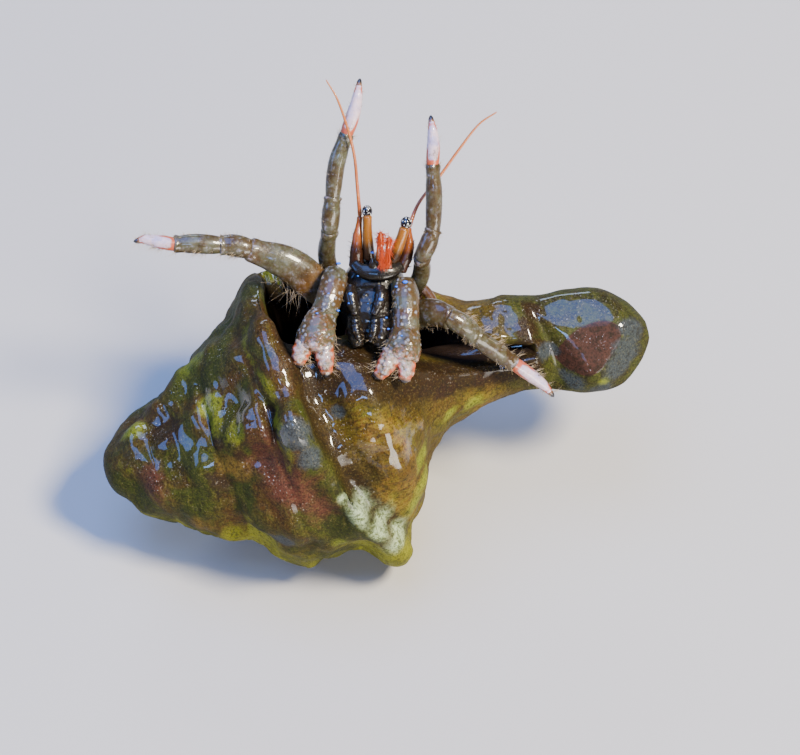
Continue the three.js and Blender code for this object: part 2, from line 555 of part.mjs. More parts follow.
// The last two pairs of legs are tiny and brace the crab inside the mouth of the shell.
const smallLegs = {
  leg4_right: [[-1.9, 0.2, -4.9], [-2.9, 0.9, -5.2], [-3.6, 0.2, -4.7], [-3.9, -0.8, -4.2]],
  leg4_left: [[1.7, 0.2, -4.9], [2.6, 0.9, -5.2], [3.3, 0.3, -4.9], [3.6, -0.5, -4.6]],
  leg5_right: [[-1.5, 0.3, -6.0], [-2.4, 1.1, -6.6], [-3.0, 0.7, -6.4], [-3.3, 0.0, -6.0]],
  leg5_left: [[1.2, 0.3, -5.8], [1.9, 1.0, -6.3], [2.4, 0.7, -6.2], [2.6, 0.1, -5.9]],
};

function smallLegPieces() {
  return Object.entries(smallLegs).map(([name, line]) => {
    const leg = { line, size: [[0, 0.34], [0.5, 0.32], [1, 0.26]], sides: 7, steps: 9 };
    return [name, cut(limb(leg), limb({ ...trunk, grow: GAP })), "limb"];
  });
}

// ---- the whole -----------------------------------------------------------------------------

const looks = {
  shell: { color: 0x4a4a22, roughness: 0.3 },
  spire: { color: 0x55551f, roughness: 0.35 },
  canal: { color: 0x3c3a22, roughness: 0.25 },
  limb: { color: 0x6b6552, roughness: 0.4 },
  claw: { color: 0x8c8272, roughness: 0.45 },
  foot: { color: 0xb9a7a4, roughness: 0.4 },
  back: { color: 0x5a4a36, roughness: 0.35 },
  soft: { color: 0x8a6a58, roughness: 0.5 },
  orange: { color: 0xc85a28, roughness: 0.4 },
  stalk: { color: 0xc98a3c, roughness: 0.3 },
  eye: { color: 0x101418, roughness: 0.1 },
};

const model = new THREE.Group();

function add([name, geometry, look]) {
  const mesh = new THREE.Mesh(geometry, new THREE.MeshStandardMaterial({ metalness: 0, ...looks[look] }));
  mesh.name = name;
  model.add(mesh);
}

add(["shell_spire", shellSpire(), "spire"]);
add(["shell_body_whorl", shellBodyWhorl(), "shell"]);
add(["shell_canal", shellCanal(), "shell"]);
add(["shell_canal_end", shellCanalEnd(), "canal"]);
trunkPieces().forEach(add);
tailPieces().forEach(add);
headPieces("right").forEach(add);
headPieces("left").forEach(add);
smallLegPieces().forEach(add);
chain("claw_right", rightClaw).forEach(add);
chain("claw_left", leftClaw).forEach(add);
chain("leg2_right", rightFrontLeg).forEach(add);
chain("leg2_left", leftFrontLeg).forEach(add);
chain("leg3_right", rightRearLeg).forEach(add);
chain("leg3_left", leftRearLeg).forEach(add);

export default model;
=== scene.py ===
# %% [markdown]
# # A hermit crab in a knobbly sea-snail shell
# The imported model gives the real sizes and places. Here every plain solid gets its true surface:
# a wet, algae-covered shell, and a crab of horny plates, feelers, bristles and bright eyes.
# Shapes are worked out in millimetres and turned into metres when a mesh is made.

# %% Load the frame
import bpy
import numpy as np
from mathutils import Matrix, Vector


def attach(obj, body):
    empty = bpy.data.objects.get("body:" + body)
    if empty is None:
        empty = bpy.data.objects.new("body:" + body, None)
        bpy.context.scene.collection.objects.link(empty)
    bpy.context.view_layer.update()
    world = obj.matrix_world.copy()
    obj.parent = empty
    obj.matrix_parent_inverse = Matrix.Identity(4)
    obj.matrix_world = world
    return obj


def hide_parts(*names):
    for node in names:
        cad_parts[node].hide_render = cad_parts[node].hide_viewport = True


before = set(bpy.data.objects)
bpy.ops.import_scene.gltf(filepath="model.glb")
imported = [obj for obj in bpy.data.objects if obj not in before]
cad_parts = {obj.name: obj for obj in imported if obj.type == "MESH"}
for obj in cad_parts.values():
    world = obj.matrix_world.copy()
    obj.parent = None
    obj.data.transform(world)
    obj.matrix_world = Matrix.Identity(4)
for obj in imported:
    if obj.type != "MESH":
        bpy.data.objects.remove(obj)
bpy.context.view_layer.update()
MM = 0.001
print("pieces in the frame:", len(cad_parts))

# %% [markdown]
# ## Smooth curves and surfaces
# Two ideas carry the whole model. The first is a *curve through knots*: it turns a few sizes, such
# as the width of a leg at four places, into a smooth run of sizes. Blender's own curves bend as
# well, but a formula can be asked for its value anywhere, and the surfaces below need that. Steps
# and bells are the two shapes that everything small is made of.

# %% Curves, steps and bells
def curve(*knots):
    """A smooth line through [place, value] knots: cubic pieces whose slope at a knot is that of
    the line between its two neighbours; flat beyond both ends."""
    x, y = np.array(knots, float).T
    before = np.maximum(np.arange(len(x)) - 1, 0)
    after = np.minimum(np.arange(len(x)) + 1, len(x) - 1)
    slope = (y[after] - y[before]) / (x[after] - x[before])

    def at(place):
        p = np.clip(place, x[0], x[-1])
        i = np.clip(np.searchsorted(x, p, side="right") - 1, 0, len(x) - 2)
        h = x[i + 1] - x[i]
        t = (p - x[i]) / h
        bend = slope[i] * h * t * (1 - t) ** 2 - slope[i + 1] * h * t * t * (1 - t)
        return y[i] + (y[i + 1] - y[i]) * t * t * (3 - 2 * t) + bend
    return at


def smooth(x):
    """0 below 0, 1 above 1, and an S-shaped step between."""
    x = np.clip(x, 0, 1)
    return x * x * (3 - 2 * x)


def bump(x, width):
    """A bell of height 1 at x = 0."""
    return np.exp(-(x / width) ** 2)


def unit(v):
    """Vectors divided by their own lengths."""
    return v / np.maximum(np.linalg.norm(v, axis=-1, keepdims=True), 1e-12)


print("a curve through 0, 1, 0 at its middle:", curve([0, 0], [1, 1], [2, 0])(np.array([1.0])))

# %% [markdown]
# The second idea is a *grid*: a surface with rows along it and columns round it. It could be built
# face by face, but whole arrays are quicker and as exact. A fan of triangles closes each end.

# %% Closed grids
def grid_faces(rows, columns, first=0):
    """Quads of a grid whose columns close on themselves."""
    r = np.arange(rows - 1)[:, None] * columns
    c = np.arange(columns)[None, :]
    d = (c + 1) % columns
    quads = np.stack([r + c, r + d, r + columns + d, r + columns + c], axis=-1)
    return quads.reshape(-1, 4) + first


def closed_grid(points, poles, first=0):
    """Points and faces of a grid closed by a fan to a pole at each end. The faces are three
    arrays: the quads and the two fans; first is how many points lie before these."""
    rows, columns = points.shape[:2]
    ring = np.arange(columns)
    after = (ring + 1) % columns
    last = first + (rows - 1) * columns
    pole = first + rows * columns
    start_fan = np.stack([np.full(columns, pole), first + after, first + ring], axis=1)
    end_fan = np.stack([np.full(columns, pole + 1), last + ring, last + after], axis=1)
    faces = [grid_faces(rows, columns, first), start_fan, end_fan]
    return np.concatenate([points.reshape(-1, 3), poles]), faces


def grid_normals(points):
    """Normals of a grid closed round its columns, from the slopes along its two ways."""
    along = np.gradient(points, axis=0)
    round_ = np.roll(points, -1, axis=1) - np.roll(points, 1, axis=1)
    return unit(np.cross(round_, along))


print("quads of a tube of 3 rows and 4 columns:", len(grid_faces(3, 4)))

# %% [markdown]
# Legs, eyes and feelers are all ovals set out along a line, so one function places them.

# %% Ovals along a line
def turn_round(sides):
    """The angles of so many points spaced evenly round a ring."""
    return 2 * np.pi * np.arange(sides) / sides


def oval_rings(places, wide, deep, half_width, half_depth, angles):
    """An oval round each place: half width times cos A one way, half depth times sin A the other."""
    across = (half_width * np.cos(angles))[..., None] * wide[:, None]
    return places[:, None] + across + (half_depth * np.sin(angles))[..., None] * deep[:, None]


print("angles of a ring of four points:", np.degrees(turn_round(4)))

# %% [markdown]
# ## Making a piece
# A piece is a mesh object at the origin: it rides on the body, says which plain solids it stands
# for, and takes a finish further on. Measures that the finishes need later, such as how pale a spot
# is, could be painted on a map, but kept on the points as attributes they need no unwrapping.

# %% Meshes from whole arrays
def fill_mesh(mesh, points, faces):
    """Points in mm and faces, an array for each number of corners, put into an empty mesh.
    Returns the corners of all faces in one run."""
    sizes = np.concatenate([np.full(len(f), f.shape[1]) for f in faces])
    loops = np.concatenate([f.ravel() for f in faces]).astype(np.int32)
    starts = np.concatenate([[0], np.cumsum(sizes)[:-1]]).astype(np.int32)
    mesh.vertices.add(len(points))
    mesh.vertices.foreach_set("co", (np.asarray(points) * MM).astype(np.float32).ravel())
    mesh.loops.add(len(loops))
    mesh.loops.foreach_set("vertex_index", loops)
    mesh.polygons.add(len(sizes))
    mesh.polygons.foreach_set("loop_start", starts)
    mesh.polygons.foreach_set("use_smooth", np.ones(len(sizes), bool))
    mesh.update(calc_edges=True)
    return loops


def keep_measure(mesh, name, values):
    """A number or a direction for each point, kept for the finish."""
    values = np.asarray(values, np.float32)
    kind, field = ("FLOAT", "value") if values.ndim == 1 else ("FLOAT_VECTOR", "vector")
    mesh.attributes.new(name, kind, "POINT").data.foreach_set(field, values.ravel())


print("metres in a millimetre:", MM)

# %% [markdown]
# Every visible piece is made by the next function, so that none is left without its body or its
# plain solids.

# %% One function that makes every piece
pieces = {}


def link(name, data):
    """A new object in the scene."""
    made = bpy.data.objects.new(name, data)
    bpy.context.collection.objects.link(made)
    return made


def make_piece(name, points, faces, replaces, attributes, uv=None):
    """A named piece that rides on the root body, from points in mm and faces."""
    mesh = bpy.data.meshes.new(name)
    loops = fill_mesh(mesh, points, faces)
    for key, values in attributes.items():
        keep_measure(mesh, key, values)
    if uv is not None:
        layer = mesh.uv_layers.new(name="OFBake")
        layer.data.foreach_set("uv", np.asarray(uv, np.float32)[loops].ravel())
    mesh.validate()
    piece = link(name, mesh)
    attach(piece, "root")
    if replaces:
        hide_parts(*replaces)
    pieces[name] = piece
    print(f"{name}: {len(points)} points, {sum(len(f) * (f.shape[1] - 2) for f in faces)} triangles")


print("pieces so far:", len(pieces))

# %% [markdown]
# ## Floor, light and camera
# The crab is shown on a plain pale floor, seen from well above, as one looks down into a rock
# pool. A weak warm fill from all round keeps the shadows open. Both surroundings are made here.

# %% Floor and fill light
FLOOR_HALF = 1.2
FLOOR_COLOUR = (0.42, 0.40, 0.37, 1)
FILL_COLOUR = (0.95, 0.82, 0.64, 1)
FILL_STRENGTH = 0.17


def make_floor():
    """A pale square, wider than the view, at the height 0."""
    mesh = bpy.data.meshes.new("floor")
    corners = [(FLOOR_HALF * x, FLOOR_HALF * y, 0) for x, y in ((-1, -1), (1, -1), (1, 1), (-1, 1))]
    mesh.from_pydata(corners, [], [(0, 1, 2, 3)])
    floor = link("floor", mesh)
    pale = bpy.data.materials.new("pale_floor")
    pale.use_nodes = True
    shader = pale.node_tree.nodes["Principled BSDF"]
    shader.inputs["Base Color"].default_value = FLOOR_COLOUR
    shader.inputs["Roughness"].default_value = 0.8
    mesh.materials.append(pale)


def make_fill():
    """The same weak warm light from every side."""
    world = bpy.data.worlds.new("studio")
    bpy.context.scene.world = world
    world.use_nodes = True
    background = world.node_tree.nodes["Background"]
    background.inputs["Color"].default_value = FILL_COLOUR
    background.inputs["Strength"].default_value = FILL_STRENGTH


make_floor()
make_fill()
print("floor side in metres:", 2 * FLOOR_HALF)

# %% [markdown]
# A long lens from a third of a metre keeps the small animal free of distortion. Its focal length
# follows from the width of the view and the distance.

# %% Camera
VIEW_LEAN = np.radians(50)
VIEW_CENTRE = np.array([1.48, -0.67, 12.26])
VIEW_WIDTH = 50.0
VIEW_DISTANCE = 350.0
SENSOR_WIDTH = 36


def make_camera():
    """A camera that leans down at the crab; lens = sensor width x distance / width of the view."""
    camera = link("camera", bpy.data.cameras.new("camera"))
    back = np.array([0, -np.cos(VIEW_LEAN), np.sin(VIEW_LEAN)])
    camera.location = (VIEW_CENTRE + back * VIEW_DISTANCE) * MM
    camera.rotation_euler = (np.pi / 2 - VIEW_LEAN, 0, 0)
    camera.data.sensor_width = SENSOR_WIDTH
    camera.data.lens = SENSOR_WIDTH * VIEW_DISTANCE / VIEW_WIDTH
    camera.data.clip_start = 0.005
    bpy.context.scene.camera = camera


make_camera()
print("camera at", [round(v, 3) for v in bpy.context.scene.camera.location])

# %% [markdown]
# A wet surface shows the shapes of the lights as bright patches. A sun lamp would leave only dots,
# so every light here is a flat window, placed where a wet face of the shell mirrors it to the
# viewer: blue windows for the open sky, and two warm ones for the sun.

# %% Windows of light
AIM = (0, 0, 0.01)
SKY_BLUE = (0.14, 0.33, 1.0)
# name: place, size, power, colour
WINDOWS = {
    "sun_side": ((0.22, -0.14, 0.42), (0.10, 0.10), 7.4, (1.0, 0.90, 0.72)),
    "sky_window": ((-0.08, 0.0, 0.46), (0.46, 0.30), 3.5, SKY_BLUE),
    "left_window": ((-0.36, -0.02, 0.19), (0.22, 0.13), 0.85, SKY_BLUE),
    "front_window": ((-0.06, -0.34, 0.34), (0.12, 0.05), 0.5, (0.20, 0.42, 1.0)),
    "low_sun": ((0.21, -0.34, 0.06), (0.28, 0.12), 2.1, (1.0, 0.95, 0.88)),
    "sky_back": ((-0.10, 0.42, 0.24), (0.24, 0.10), 1.0, (0.55, 0.70, 1.0)),
}
for name, (place, size, power, colour) in WINDOWS.items():
    light = bpy.data.lights.new(name, "AREA")
    light.shape = "RECTANGLE"
    light.size, light.size_y = size
    light.energy = power
    light.color = colour
    lamp = link(name, light)
    lamp.location = place
    lamp.rotation_euler = (Vector(AIM) - Vector(place)).to_track_quat("-Z", "Y").to_euler()
print("windows of light:", ", ".join(WINDOWS))

# %% [markdown]
# ## The shell: one surface round a tilted axis
# A snail shell grows round an axis: a cone of whorls, each with a knobbly shoulder, a wide last
# whorl, and a narrow canal that ends in a smooth blunt knob. It could be sculpted, or wound up from
# a tube. Written as a half width for each place along the axis and each turn round it, the whole
# outside is one grid, and any part of it can be measured and corrected by a number.

# %% The shell's axis
SHELL_LENGTH = 35.4
SHELL_PITCH = np.radians(8.5)
SHELL_YAW = np.radians(11.6)
APEX = np.array([-17.12, -3.49, 6.35])
WHORL_GROWTH = 1.48
AXIS = np.array([np.cos(SHELL_PITCH) * np.cos(SHELL_YAW),
                 np.cos(SHELL_PITCH) * np.sin(SHELL_YAW), np.sin(SHELL_PITCH)])
SHELL_UP = unit(np.array([0, 0, 1]) - AXIS * AXIS[2])
SHELL_NEAR = np.cross(AXIS, SHELL_UP)
FAR_TURN = np.radians(50)

canal_bend = curve([18, 0], [21, 0.4], [24, 1.0], [27, 1.35], [30, 0.7], [33, 0.35], [35.4, 0.2])


def on_shell(along, radius, turn):
    """A point at a place along the axis, a distance from it, and a turn in degrees from the top
    towards the near side; the canal's axis is bent a little to the far side."""
    a = np.radians(turn)
    sag = canal_bend(along)
    up = radius * np.cos(a) + sag * np.cos(FAR_TURN)
    near = radius * np.sin(a) - sag * np.sin(FAR_TURN)
    return (APEX + along[..., None] * AXIS + up[..., None] * SHELL_UP
            + near[..., None] * SHELL_NEAR)


# %% [markdown]
# ## The shell's outline, shoulders and knobs
# Two outlines, one for each side, are blended round the axis. The shoulders run up the spire as a
# screw line: the place of each one grows by the same share in every turn. The last shoulder keeps
# its own line because it drops towards the canal as the snail grew up. Knobs sit on the shoulders,
# and a few big ones are listed one by one where this shell has them.

# %% Outside of the shell
far_side = curve([0, 0.3], [0.12, 0.85], [0.4, 1.35], [0.9, 1.8], [1.6, 2.15], [3, 2.7],
                 [5.4, 3.9], [7.3, 5.4], [9.2, 6.5], [11, 8.4], [13, 9.3], [15, 9.3], [17, 8.7],
                 [19, 7.6], [21, 6.3], [23, 4.9], [25, 3.6], [27, 3.1], [29, 3.0], [31, 3.4],
                 [33, 3.2], [34.5, 2.1], [35.2, 1.0], [35.4, 0.5])
near_side = curve([0, 0.3], [0.12, 0.9], [0.4, 1.5], [0.9, 2.0], [1.6, 2.6], [3, 3.5],
                  [5.4, 5.0], [8.3, 6.2], [10.5, 8.0], [12, 8.4], [14.2, 8.6], [16, 9.2],
                  [17.8, 8.9], [19.1, 7.4], [19.8, 5.4], [20.6, 4.0], [21.6, 3.3], [23, 3.0],
                  [25, 2.9], [27, 2.9], [29, 3.0], [31, 3.3], [33, 3.1], [34.5, 2.0], [35.2, 1.0],
                  [35.4, 0.5])
last_shoulder = curve([-50, 12.3], [-17, 12.5], [28, 13.0], [53, 13.6], [76, 14.7], [96, 16.0],
                      [111, 16.9], [140, 17.6], [180, 17.8], [250, 17.8], [310, 17.4])
# The turn where the last whorl starts; it ends one full turn later.
FIRST_TURN = -50


def wrapped(turn):
    """The turn brought into the one full turn from the start of the last whorl."""
    return (turn - FIRST_TURN) % 360 + FIRST_TURN


def round_from(turn, middle):
    """Degrees from a middle turn, the short way round: -180 to 180."""
    return (turn - middle + 180) % 360 - 180


print("half widths at the middle:", far_side(17.0), near_side(17.0))

# %% [markdown]
# A worn shell is far from regular, so besides the small knobs that return with every whorl, the
# big ones are listed one by one, with a few hollows between them as knobs of negative height. The
# knob at the canal's end was rubbed into flat faces, which are listed in the same way.

# %% Knobs, hollows and flat faces
KNOBS_PER_WHORL = 7.2
FIRST_KNOB = 42
# Big knobs of this shell: along, turn, width along, width round, height.
KNOBS = [(9.3, 36, 1.9, 1.7, 0.95), (12.5, 40, 1.1, 1.7, 0.75), (8.2, -18, 1.6, 1.6, 0.8),
         (9.3, 84, 1.3, 1.5, 0.55), (10.7, 130, 1.2, 1.5, 0.6), (6.1, 128, 1.3, 1.4, 0.3),
         (16.4, 122, 1.0, 1.5, 0.55), (2.6, -4, 0.6, 0.7, 0.3), (5.6, 52, 1.1, 1.5, 0.45),
         (5.4, 10, 1.0, 1.2, 0.35), (6.4, 90, 1.1, 1.3, 0.35), (3.2, 80, 0.8, 1.0, 0.25),
         (11.2, 8, 1.5, 1.5, 0.6), (9.6, 28, 1.1, 0.45, 0.3), (9.5, 49, 1.0, 0.7, -0.6),
         (9.4, 37, 1.0, 0.8, 0.6), (7.4, 26, 0.5, 1.8, -0.5), (11.1, 34, 0.45, 2.2, -0.65),
         (12.6, 66, 0.7, 1.2, -0.3), (13.9, 92, 1.2, 1.6, 0.45), (12.2, 108, 1.0, 1.4, 0.3),
         (26.9, -14, 1.4, 1.3, 0.55), (29.2, -30, 1.6, 1.5, 0.25)]
# Flat faces of the knob at the canal's end: direction (along, to the viewer, down), distance.
FACETS = [((0.0, 1.0, 0.0), 2.5), ((0.62, 0.56, 0.55), 2.9), ((-0.62, 0.72, 0.30), 2.5),
          ((0.05, 0.89, -0.46), 2.75)]
FACET_CENTRE, FACET_TURN = 31.2, 40
LEAST_RADIUS = 0.3


def knob_wave(turn, whorl):
    """Knobs round a shoulder, 0 between two and 1 on one; they stand on in the next whorl."""
    return 0.5 + 0.5 * np.cos(np.radians(turn - FIRST_KNOB - 360 * whorl) * KNOBS_PER_WHORL)


def big_knobs(along, turn, radius):
    """The sum of the bells of the listed knobs."""
    total = np.zeros(np.broadcast(along, turn).shape)
    for place, angle, length, breadth, height in KNOBS:
        across = np.radians(round_from(turn, angle)) * radius
        total += height * np.exp(-((along - place) / length) ** 2 - (across / breadth) ** 2)
    return total


def cut_facets(along, turn, radius):
    """The canal's end cut flat: the half width where each plane is met, eased by a soft minimum,
    radius less half of (gap + the root of gap squared and a little)."""
    a = np.radians(turn - FACET_TURN)
    share = smooth((along - 28) / 1.5)
    for (ahead, near, down), distance in FACETS:
        facing = near * np.cos(a) + down * np.sin(a)
        limit = (distance - ahead * (along - FACET_CENTRE)) / np.maximum(facing, 0.05)
        gap = radius - limit
        eased = radius - 0.5 * (gap + np.sqrt(gap ** 2 + 0.08))
        radius = radius + share * (eased - radius) * (facing > 0.05)
    return np.maximum(radius, LEAST_RADIUS)


print("knobs placed one by one:", len(KNOBS), "flat faces:", len(FACETS))

# %% [markdown]
# Now the half width can be written in full: outline, ridges, knobs and grooves, and a low step
# where the last whorl drops away below its shoulder.

# %% Half width of the outside
FIRST_SHOULDER = 12.3
RIDGE_WIDTH, SEAM_WIDTH, SEAM_DEPTH, SEAM_PLACE = 1.7, 0.55, 0.24, 1.19
LAST_STEP = 0.9


def spire_whorls(along, turn):
    """The four whorls of the spire: a knobbly ridge on each shoulder and a groove past it, all
    growing with the whorl."""
    total = 0
    for whorl in (1, 2, 3, 4):
        shoulder = FIRST_SHOULDER * WHORL_GROWTH ** ((turn - 310) / 360 - whorl + 1)
        size = shoulder / FIRST_SHOULDER
        ridge = 0.06 + 0.22 * knob_wave(turn, whorl)
        total = total + size * ridge * bump(along - shoulder, RIDGE_WIDTH * size)
        total = total - size * SEAM_DEPTH * bump(along - shoulder * SEAM_PLACE, SEAM_WIDTH * size)
    return total


def outer_radius(along, turn):
    """Half width: the two outlines blended round the axis, plus a low ridge with knobs on each
    shoulder and the knobs placed by hand, less a groove along each seam and a low step below the
    last shoulder."""
    t = wrapped(turn)
    to_near = (1 - np.cos(np.radians(t - FIRST_TURN))) / 2
    radius = far_side(along) * (1 - to_near) + near_side(along) * to_near
    total = 0.38 * (1 - smooth((along - 11) / 4)) * smooth(along / 3) + big_knobs(along, t, radius)
    total = total + spire_whorls(along, t)
    last = last_shoulder(t)
    fade = 1 - smooth((t - 230) / 70)
    total = total + fade * (0.35 + 0.35 * knob_wave(t, 0)) * bump(along - last + 0.8, 1.2)
    step = smooth((along - last) / 0.45) * (1 - smooth((along - last - 1.5) / 3))
    return cut_facets(along, turn, np.maximum(radius + total - fade * LAST_STEP * step, LEAST_RADIUS))


print("half width at the last shoulder:", outer_radius(np.array([16.0]), np.array([96.0])).round(2))

# %% [markdown]
# ## The mouth of the shell
# The last whorl is hollow. A Boolean modifier could cut the hollow out, but would leave a sharp lip
# and ragged faces. Instead a section across the whorl runs the long way round the outside, turns in
# over the far lip, goes back along the inside of the wall, and comes out again over the smooth core
# to the near rim. Where the mouth ends, the same line relaxes onto the plain outside, so one grid
# makes the outside, the lip and the hollow without a join.

# %% Section of the shell
near_rim = curve([12.4, -2], [13.2, 8], [15, 16], [17, 21], [20, 26], [22, 38], [24, 50], [26, 62],
                 [28, 58])
far_lip = curve([12.4, -40], [13.2, -50], [15, -57], [18, -62], [21, -58], [22.5, -40], [24, -10],
                [26, 22], [28, 36])
hollow_back = curve([13, -120], [17, -160], [20, -150], [22, -90], [24, -25], [28, 30])
core_radius = curve([12.6, 3.6], [16, 3.0], [20, 2.5], [22, 1.9], [24, 1.5], [28, 1.7])
WALL = 0.95


def openness(along):
    """0 where the shell is closed, 1 along the mouth and the slit of the canal."""
    return smooth((along - 12.3) / 0.7) * (1 - smooth((along - 27.4) / 1.2))


print("the mouth's near rim and far lip at 17 mm:", near_rim(17.0), far_lip(17.0))

# %% [markdown]
# The part of a section that lies in the hollow runs through four stretches: round the lip, down
# the inside of the wall, across the back, and up the core. Each takes a share of the line.

# %% Hollow of the mouth
LIP_END, WALL_END, BACK_END = 0.07, 0.38, 0.46
RIM_GAP = 0.05


def stretch_of(p, start, end):
    """How far the line is through one of its stretches, 0 before it and 1 after it."""
    return np.clip((p - start) / (end - start), 0, 1)


def hollow_line(s, p, near, lip, back):
    """Turns and half widths along the hollow: below the outside by the wall's thickness, which
    grows round the lip as half of 1 less a cosine, then over to the core's own half width."""
    wall = np.minimum(WALL, 0.35 * outer_radius(s, lip))
    lip_part, wall_part = stretch_of(p, 0, LIP_END), stretch_of(p, LIP_END, WALL_END)
    back_part, core_part = stretch_of(p, WALL_END, BACK_END), stretch_of(p, BACK_END, 1)
    turn = lip + (back - lip) * wall_part + (near + 360 - back) * core_part
    turn = turn + np.degrees(0.5 * wall * np.sin(np.pi * lip_part) / outer_radius(s, lip))
    turn = turn - 12 * np.sin(np.pi * back_part)
    under = outer_radius(s + 0 * turn, turn) - wall * (1 - np.cos(np.pi * lip_part)) / 2
    rise = smooth((core_part - 0.6) / 0.46)
    core = core_radius(s) + (outer_radius(s, near) - RIM_GAP - core_radius(s)) * rise
    mixed = under + (core - under) * smooth(back_part)
    deep = (1 - smooth((core_part - 0.72) / 0.28)) * smooth(p / LIP_END)
    return turn, np.where(p < BACK_END, mixed, core), deep


def shell_sections(along, outer_steps, hollow_steps):
    """For each place along the axis, a closed line of points and turns, and how deep each point
    lies inside the mouth (0 outside, 1 inside)."""
    s = along[:, None]
    near, lip, back = near_rim(s), far_lip(s) + 360, hollow_back(s) + 360
    turn_out = near + (lip - near) * np.arange(outer_steps) / (outer_steps - 1)
    outside = outer_radius(s + 0 * turn_out, turn_out)
    p = (np.arange(1, hollow_steps) / hollow_steps)[None, :]
    shut = lip + (near + 360 - lip) * p
    plain = on_shell(s + 0 * shut, outer_radius(s + 0 * shut, shut), shut)
    turn, radius, deep = hollow_line(s, p, near, lip, back)
    opened = openness(s)
    hollow = plain + (on_shell(s + 0 * turn, radius, turn) - plain) * opened[..., None]
    points = np.concatenate([on_shell(s + 0 * turn_out, outside, turn_out), hollow], axis=1)
    turns = np.concatenate([turn_out, shut + (turn - shut) * opened], axis=1)
    inside = np.concatenate([0 * outside, opened * deep], axis=1)
    return points, turns, inside


print("points in one section:", shell_sections(np.array([17.0]), 21, 13)[0].shape[1])

# %% [markdown]
# ## The shell's lumps
# Years under water leave a shell lumpy. A Displace modifier could lift the lumps, but then the
# finish wouldn't know where they are. So they are sums of soft waves of several sizes, with
# directions drawn at random once, moved along the surface's own normal. Finer grain is left to the
# finish, and the wide lumps fade out towards the smooth canal.

# %% Lumpy waves
# Lumps of three sizes: height, size, seed.
WIDE_LUMPS, MIDDLE_LUMPS, FINE_LUMPS = (0.21, 4.0, 11), (0.055, 1.9, 12), (0.014, 0.8, 13)


def soft_noise(points, size, seed, waves=24):
    """A sum of sine waves with random directions and phases; about -1 to 1, lumps as big as size."""
    draw = np.random.default_rng(seed)
    direction = unit(draw.normal(size=(waves, 3))) * draw.uniform(0.6, 1.6, (waves, 1))
    phase = draw.uniform(0, 2 * np.pi, waves)
    flat = points.reshape(-1, 3)
    total = np.zeros(len(flat))
    for way, shift in zip(direction, phase):
        total += np.sin(flat @ way * (2 * np.pi / size) + shift)
    return (total / np.sqrt(waves)).reshape(points.shape[:-1])


def knobby(s):
    """1 on the spire, 0 on the canal."""
    return 1 - smooth((s - 20) / 5)


def lumps(points, s, inside):
    """How far each point is lifted; calm at the two ends and in the hollow."""
    rough = 1 - 0.75 * smooth((s - 26) / 3)
    total = 0
    for (height, size, seed), share in ((WIDE_LUMPS, knobby(s)), (MIDDLE_LUMPS, rough),
                                        (FINE_LUMPS, rough)):
        total = total + height * soft_noise(points, size, seed) * share
    calm = smooth(s / 1.5) * (1 - smooth((s - 33) / 2)) * (1 - 0.7 * inside)
    return total * calm


print("share of the wide lumps at 22 mm:", knobby(22.0).round(2))

# %% [markdown]
# ## The shell's patches
# Colour and water don't follow the whorls: a shell is stained, overgrown and rubbed bare in spots.
# Some spots are painted light as well: the small dark ones in the creases beside the big knobs are
# painted shade, and the white spots on the low ridge also stand in for glints of the sun. They could
# be painted by hand, but spots that are listed by place are easier to move and to mend. "Shine" marks
# where a smooth film of water stands.

# %% Coloured patches
# Spots of each colour, all on the outside: along the shell, turn, and how far it spreads.
PATCHES = {
    # Chestnut stains, and painted shade in the creases beside the big knobs (the small spots).
    "chestnut_and_shade": [(4.6, 20, 1.5), (27.9, 20, 1.0), (7.0, 60, 1.3), (8.7, 47, 0.6), (9.8, 46, 0.6),
                 (10.9, 40, 0.6), (11.0, 32, 0.6), (7.6, 40, 0.6), (28.4, -8, 0.8), (28.3, 40, 0.8),
                 (22.0, 52, 1.0), (24.5, 60, 0.8)],
    "maroon": [(10.3, 52, 1.7), (11.6, 66, 2.0), (12.7, 78, 1.6), (3.1, 58, 1.2)],
    "bluish": [(12.5, 43, 1.2), (12.9, 52, 1.0), (15.1, 38, 0.7), (33.8, 60, 1.1),
               (33.2, 90, 1.6), (31.5, 112, 1.0), (34.2, 30, 0.9), (28.9, 52, 1.0), (9.9, 96, 0.8),
               (30.0, 104, 1.0)],
    "lime": [(7.0, -22, 1.4), (7.4, 14, 0.9), (2.6, -4, 0.8), (18.5, 100, 1.0), (31.8, 100, 0.6),
             (8.5, 145, 1.4), (23.5, 92, 1.0), (22.0, 80, 0.8), (13.3, 100, 0.9), (19.4, 80, 0.8),
             (19.2, 92, 1.0)],
    # Pale spots rubbed bare on the low ridge; their white also stands in for painted glints of the
    # sun.
    "whitish_and_glint": [(15.0, 83, 1.45), (15.9, 94, 1.2), (16.6, 105, 1.1), (14.2, 74, 0.7)],
    "tan": [(13.5, -24, 0.8)],
    "shine": [(17.8, 58, 1.9), (12.2, 42, 0.7), (8.2, 12, 1.0), (9.2, 22, 1.3),
              (3.4, 14, 0.9)],
    "ochre": [(7.6, 50, 1.1), (8.5, 57, 0.9), (5.2, 100, 1.0)],
}


def spread(s, turns, spots):
    """The nearest of several soft round spots on the outside, 1 in the middle of one."""
    best = np.zeros(np.broadcast(s, turns).shape)
    radius = np.maximum(far_side(s), 0.5)
    for along, turn, size in spots:
        across = round_from(turns, turn) * np.pi / 180 * radius
        best = np.maximum(best, bump(np.hypot(s - along, across), size))
    return best


print("spots listed:", sum(len(spots) for spots in PATCHES.values()))

# %% [markdown]
# ## The finished shell
# The finish needs to know more about each point than its place: how far past the shoulder it lies,
# whether it is on a rising flank, by the mouth, on the low rim or on the brown oval of the canal's
# end. These measures are worked out beside the shape. What would reach below the floor is worn
# flat, which is what the shell lies on.

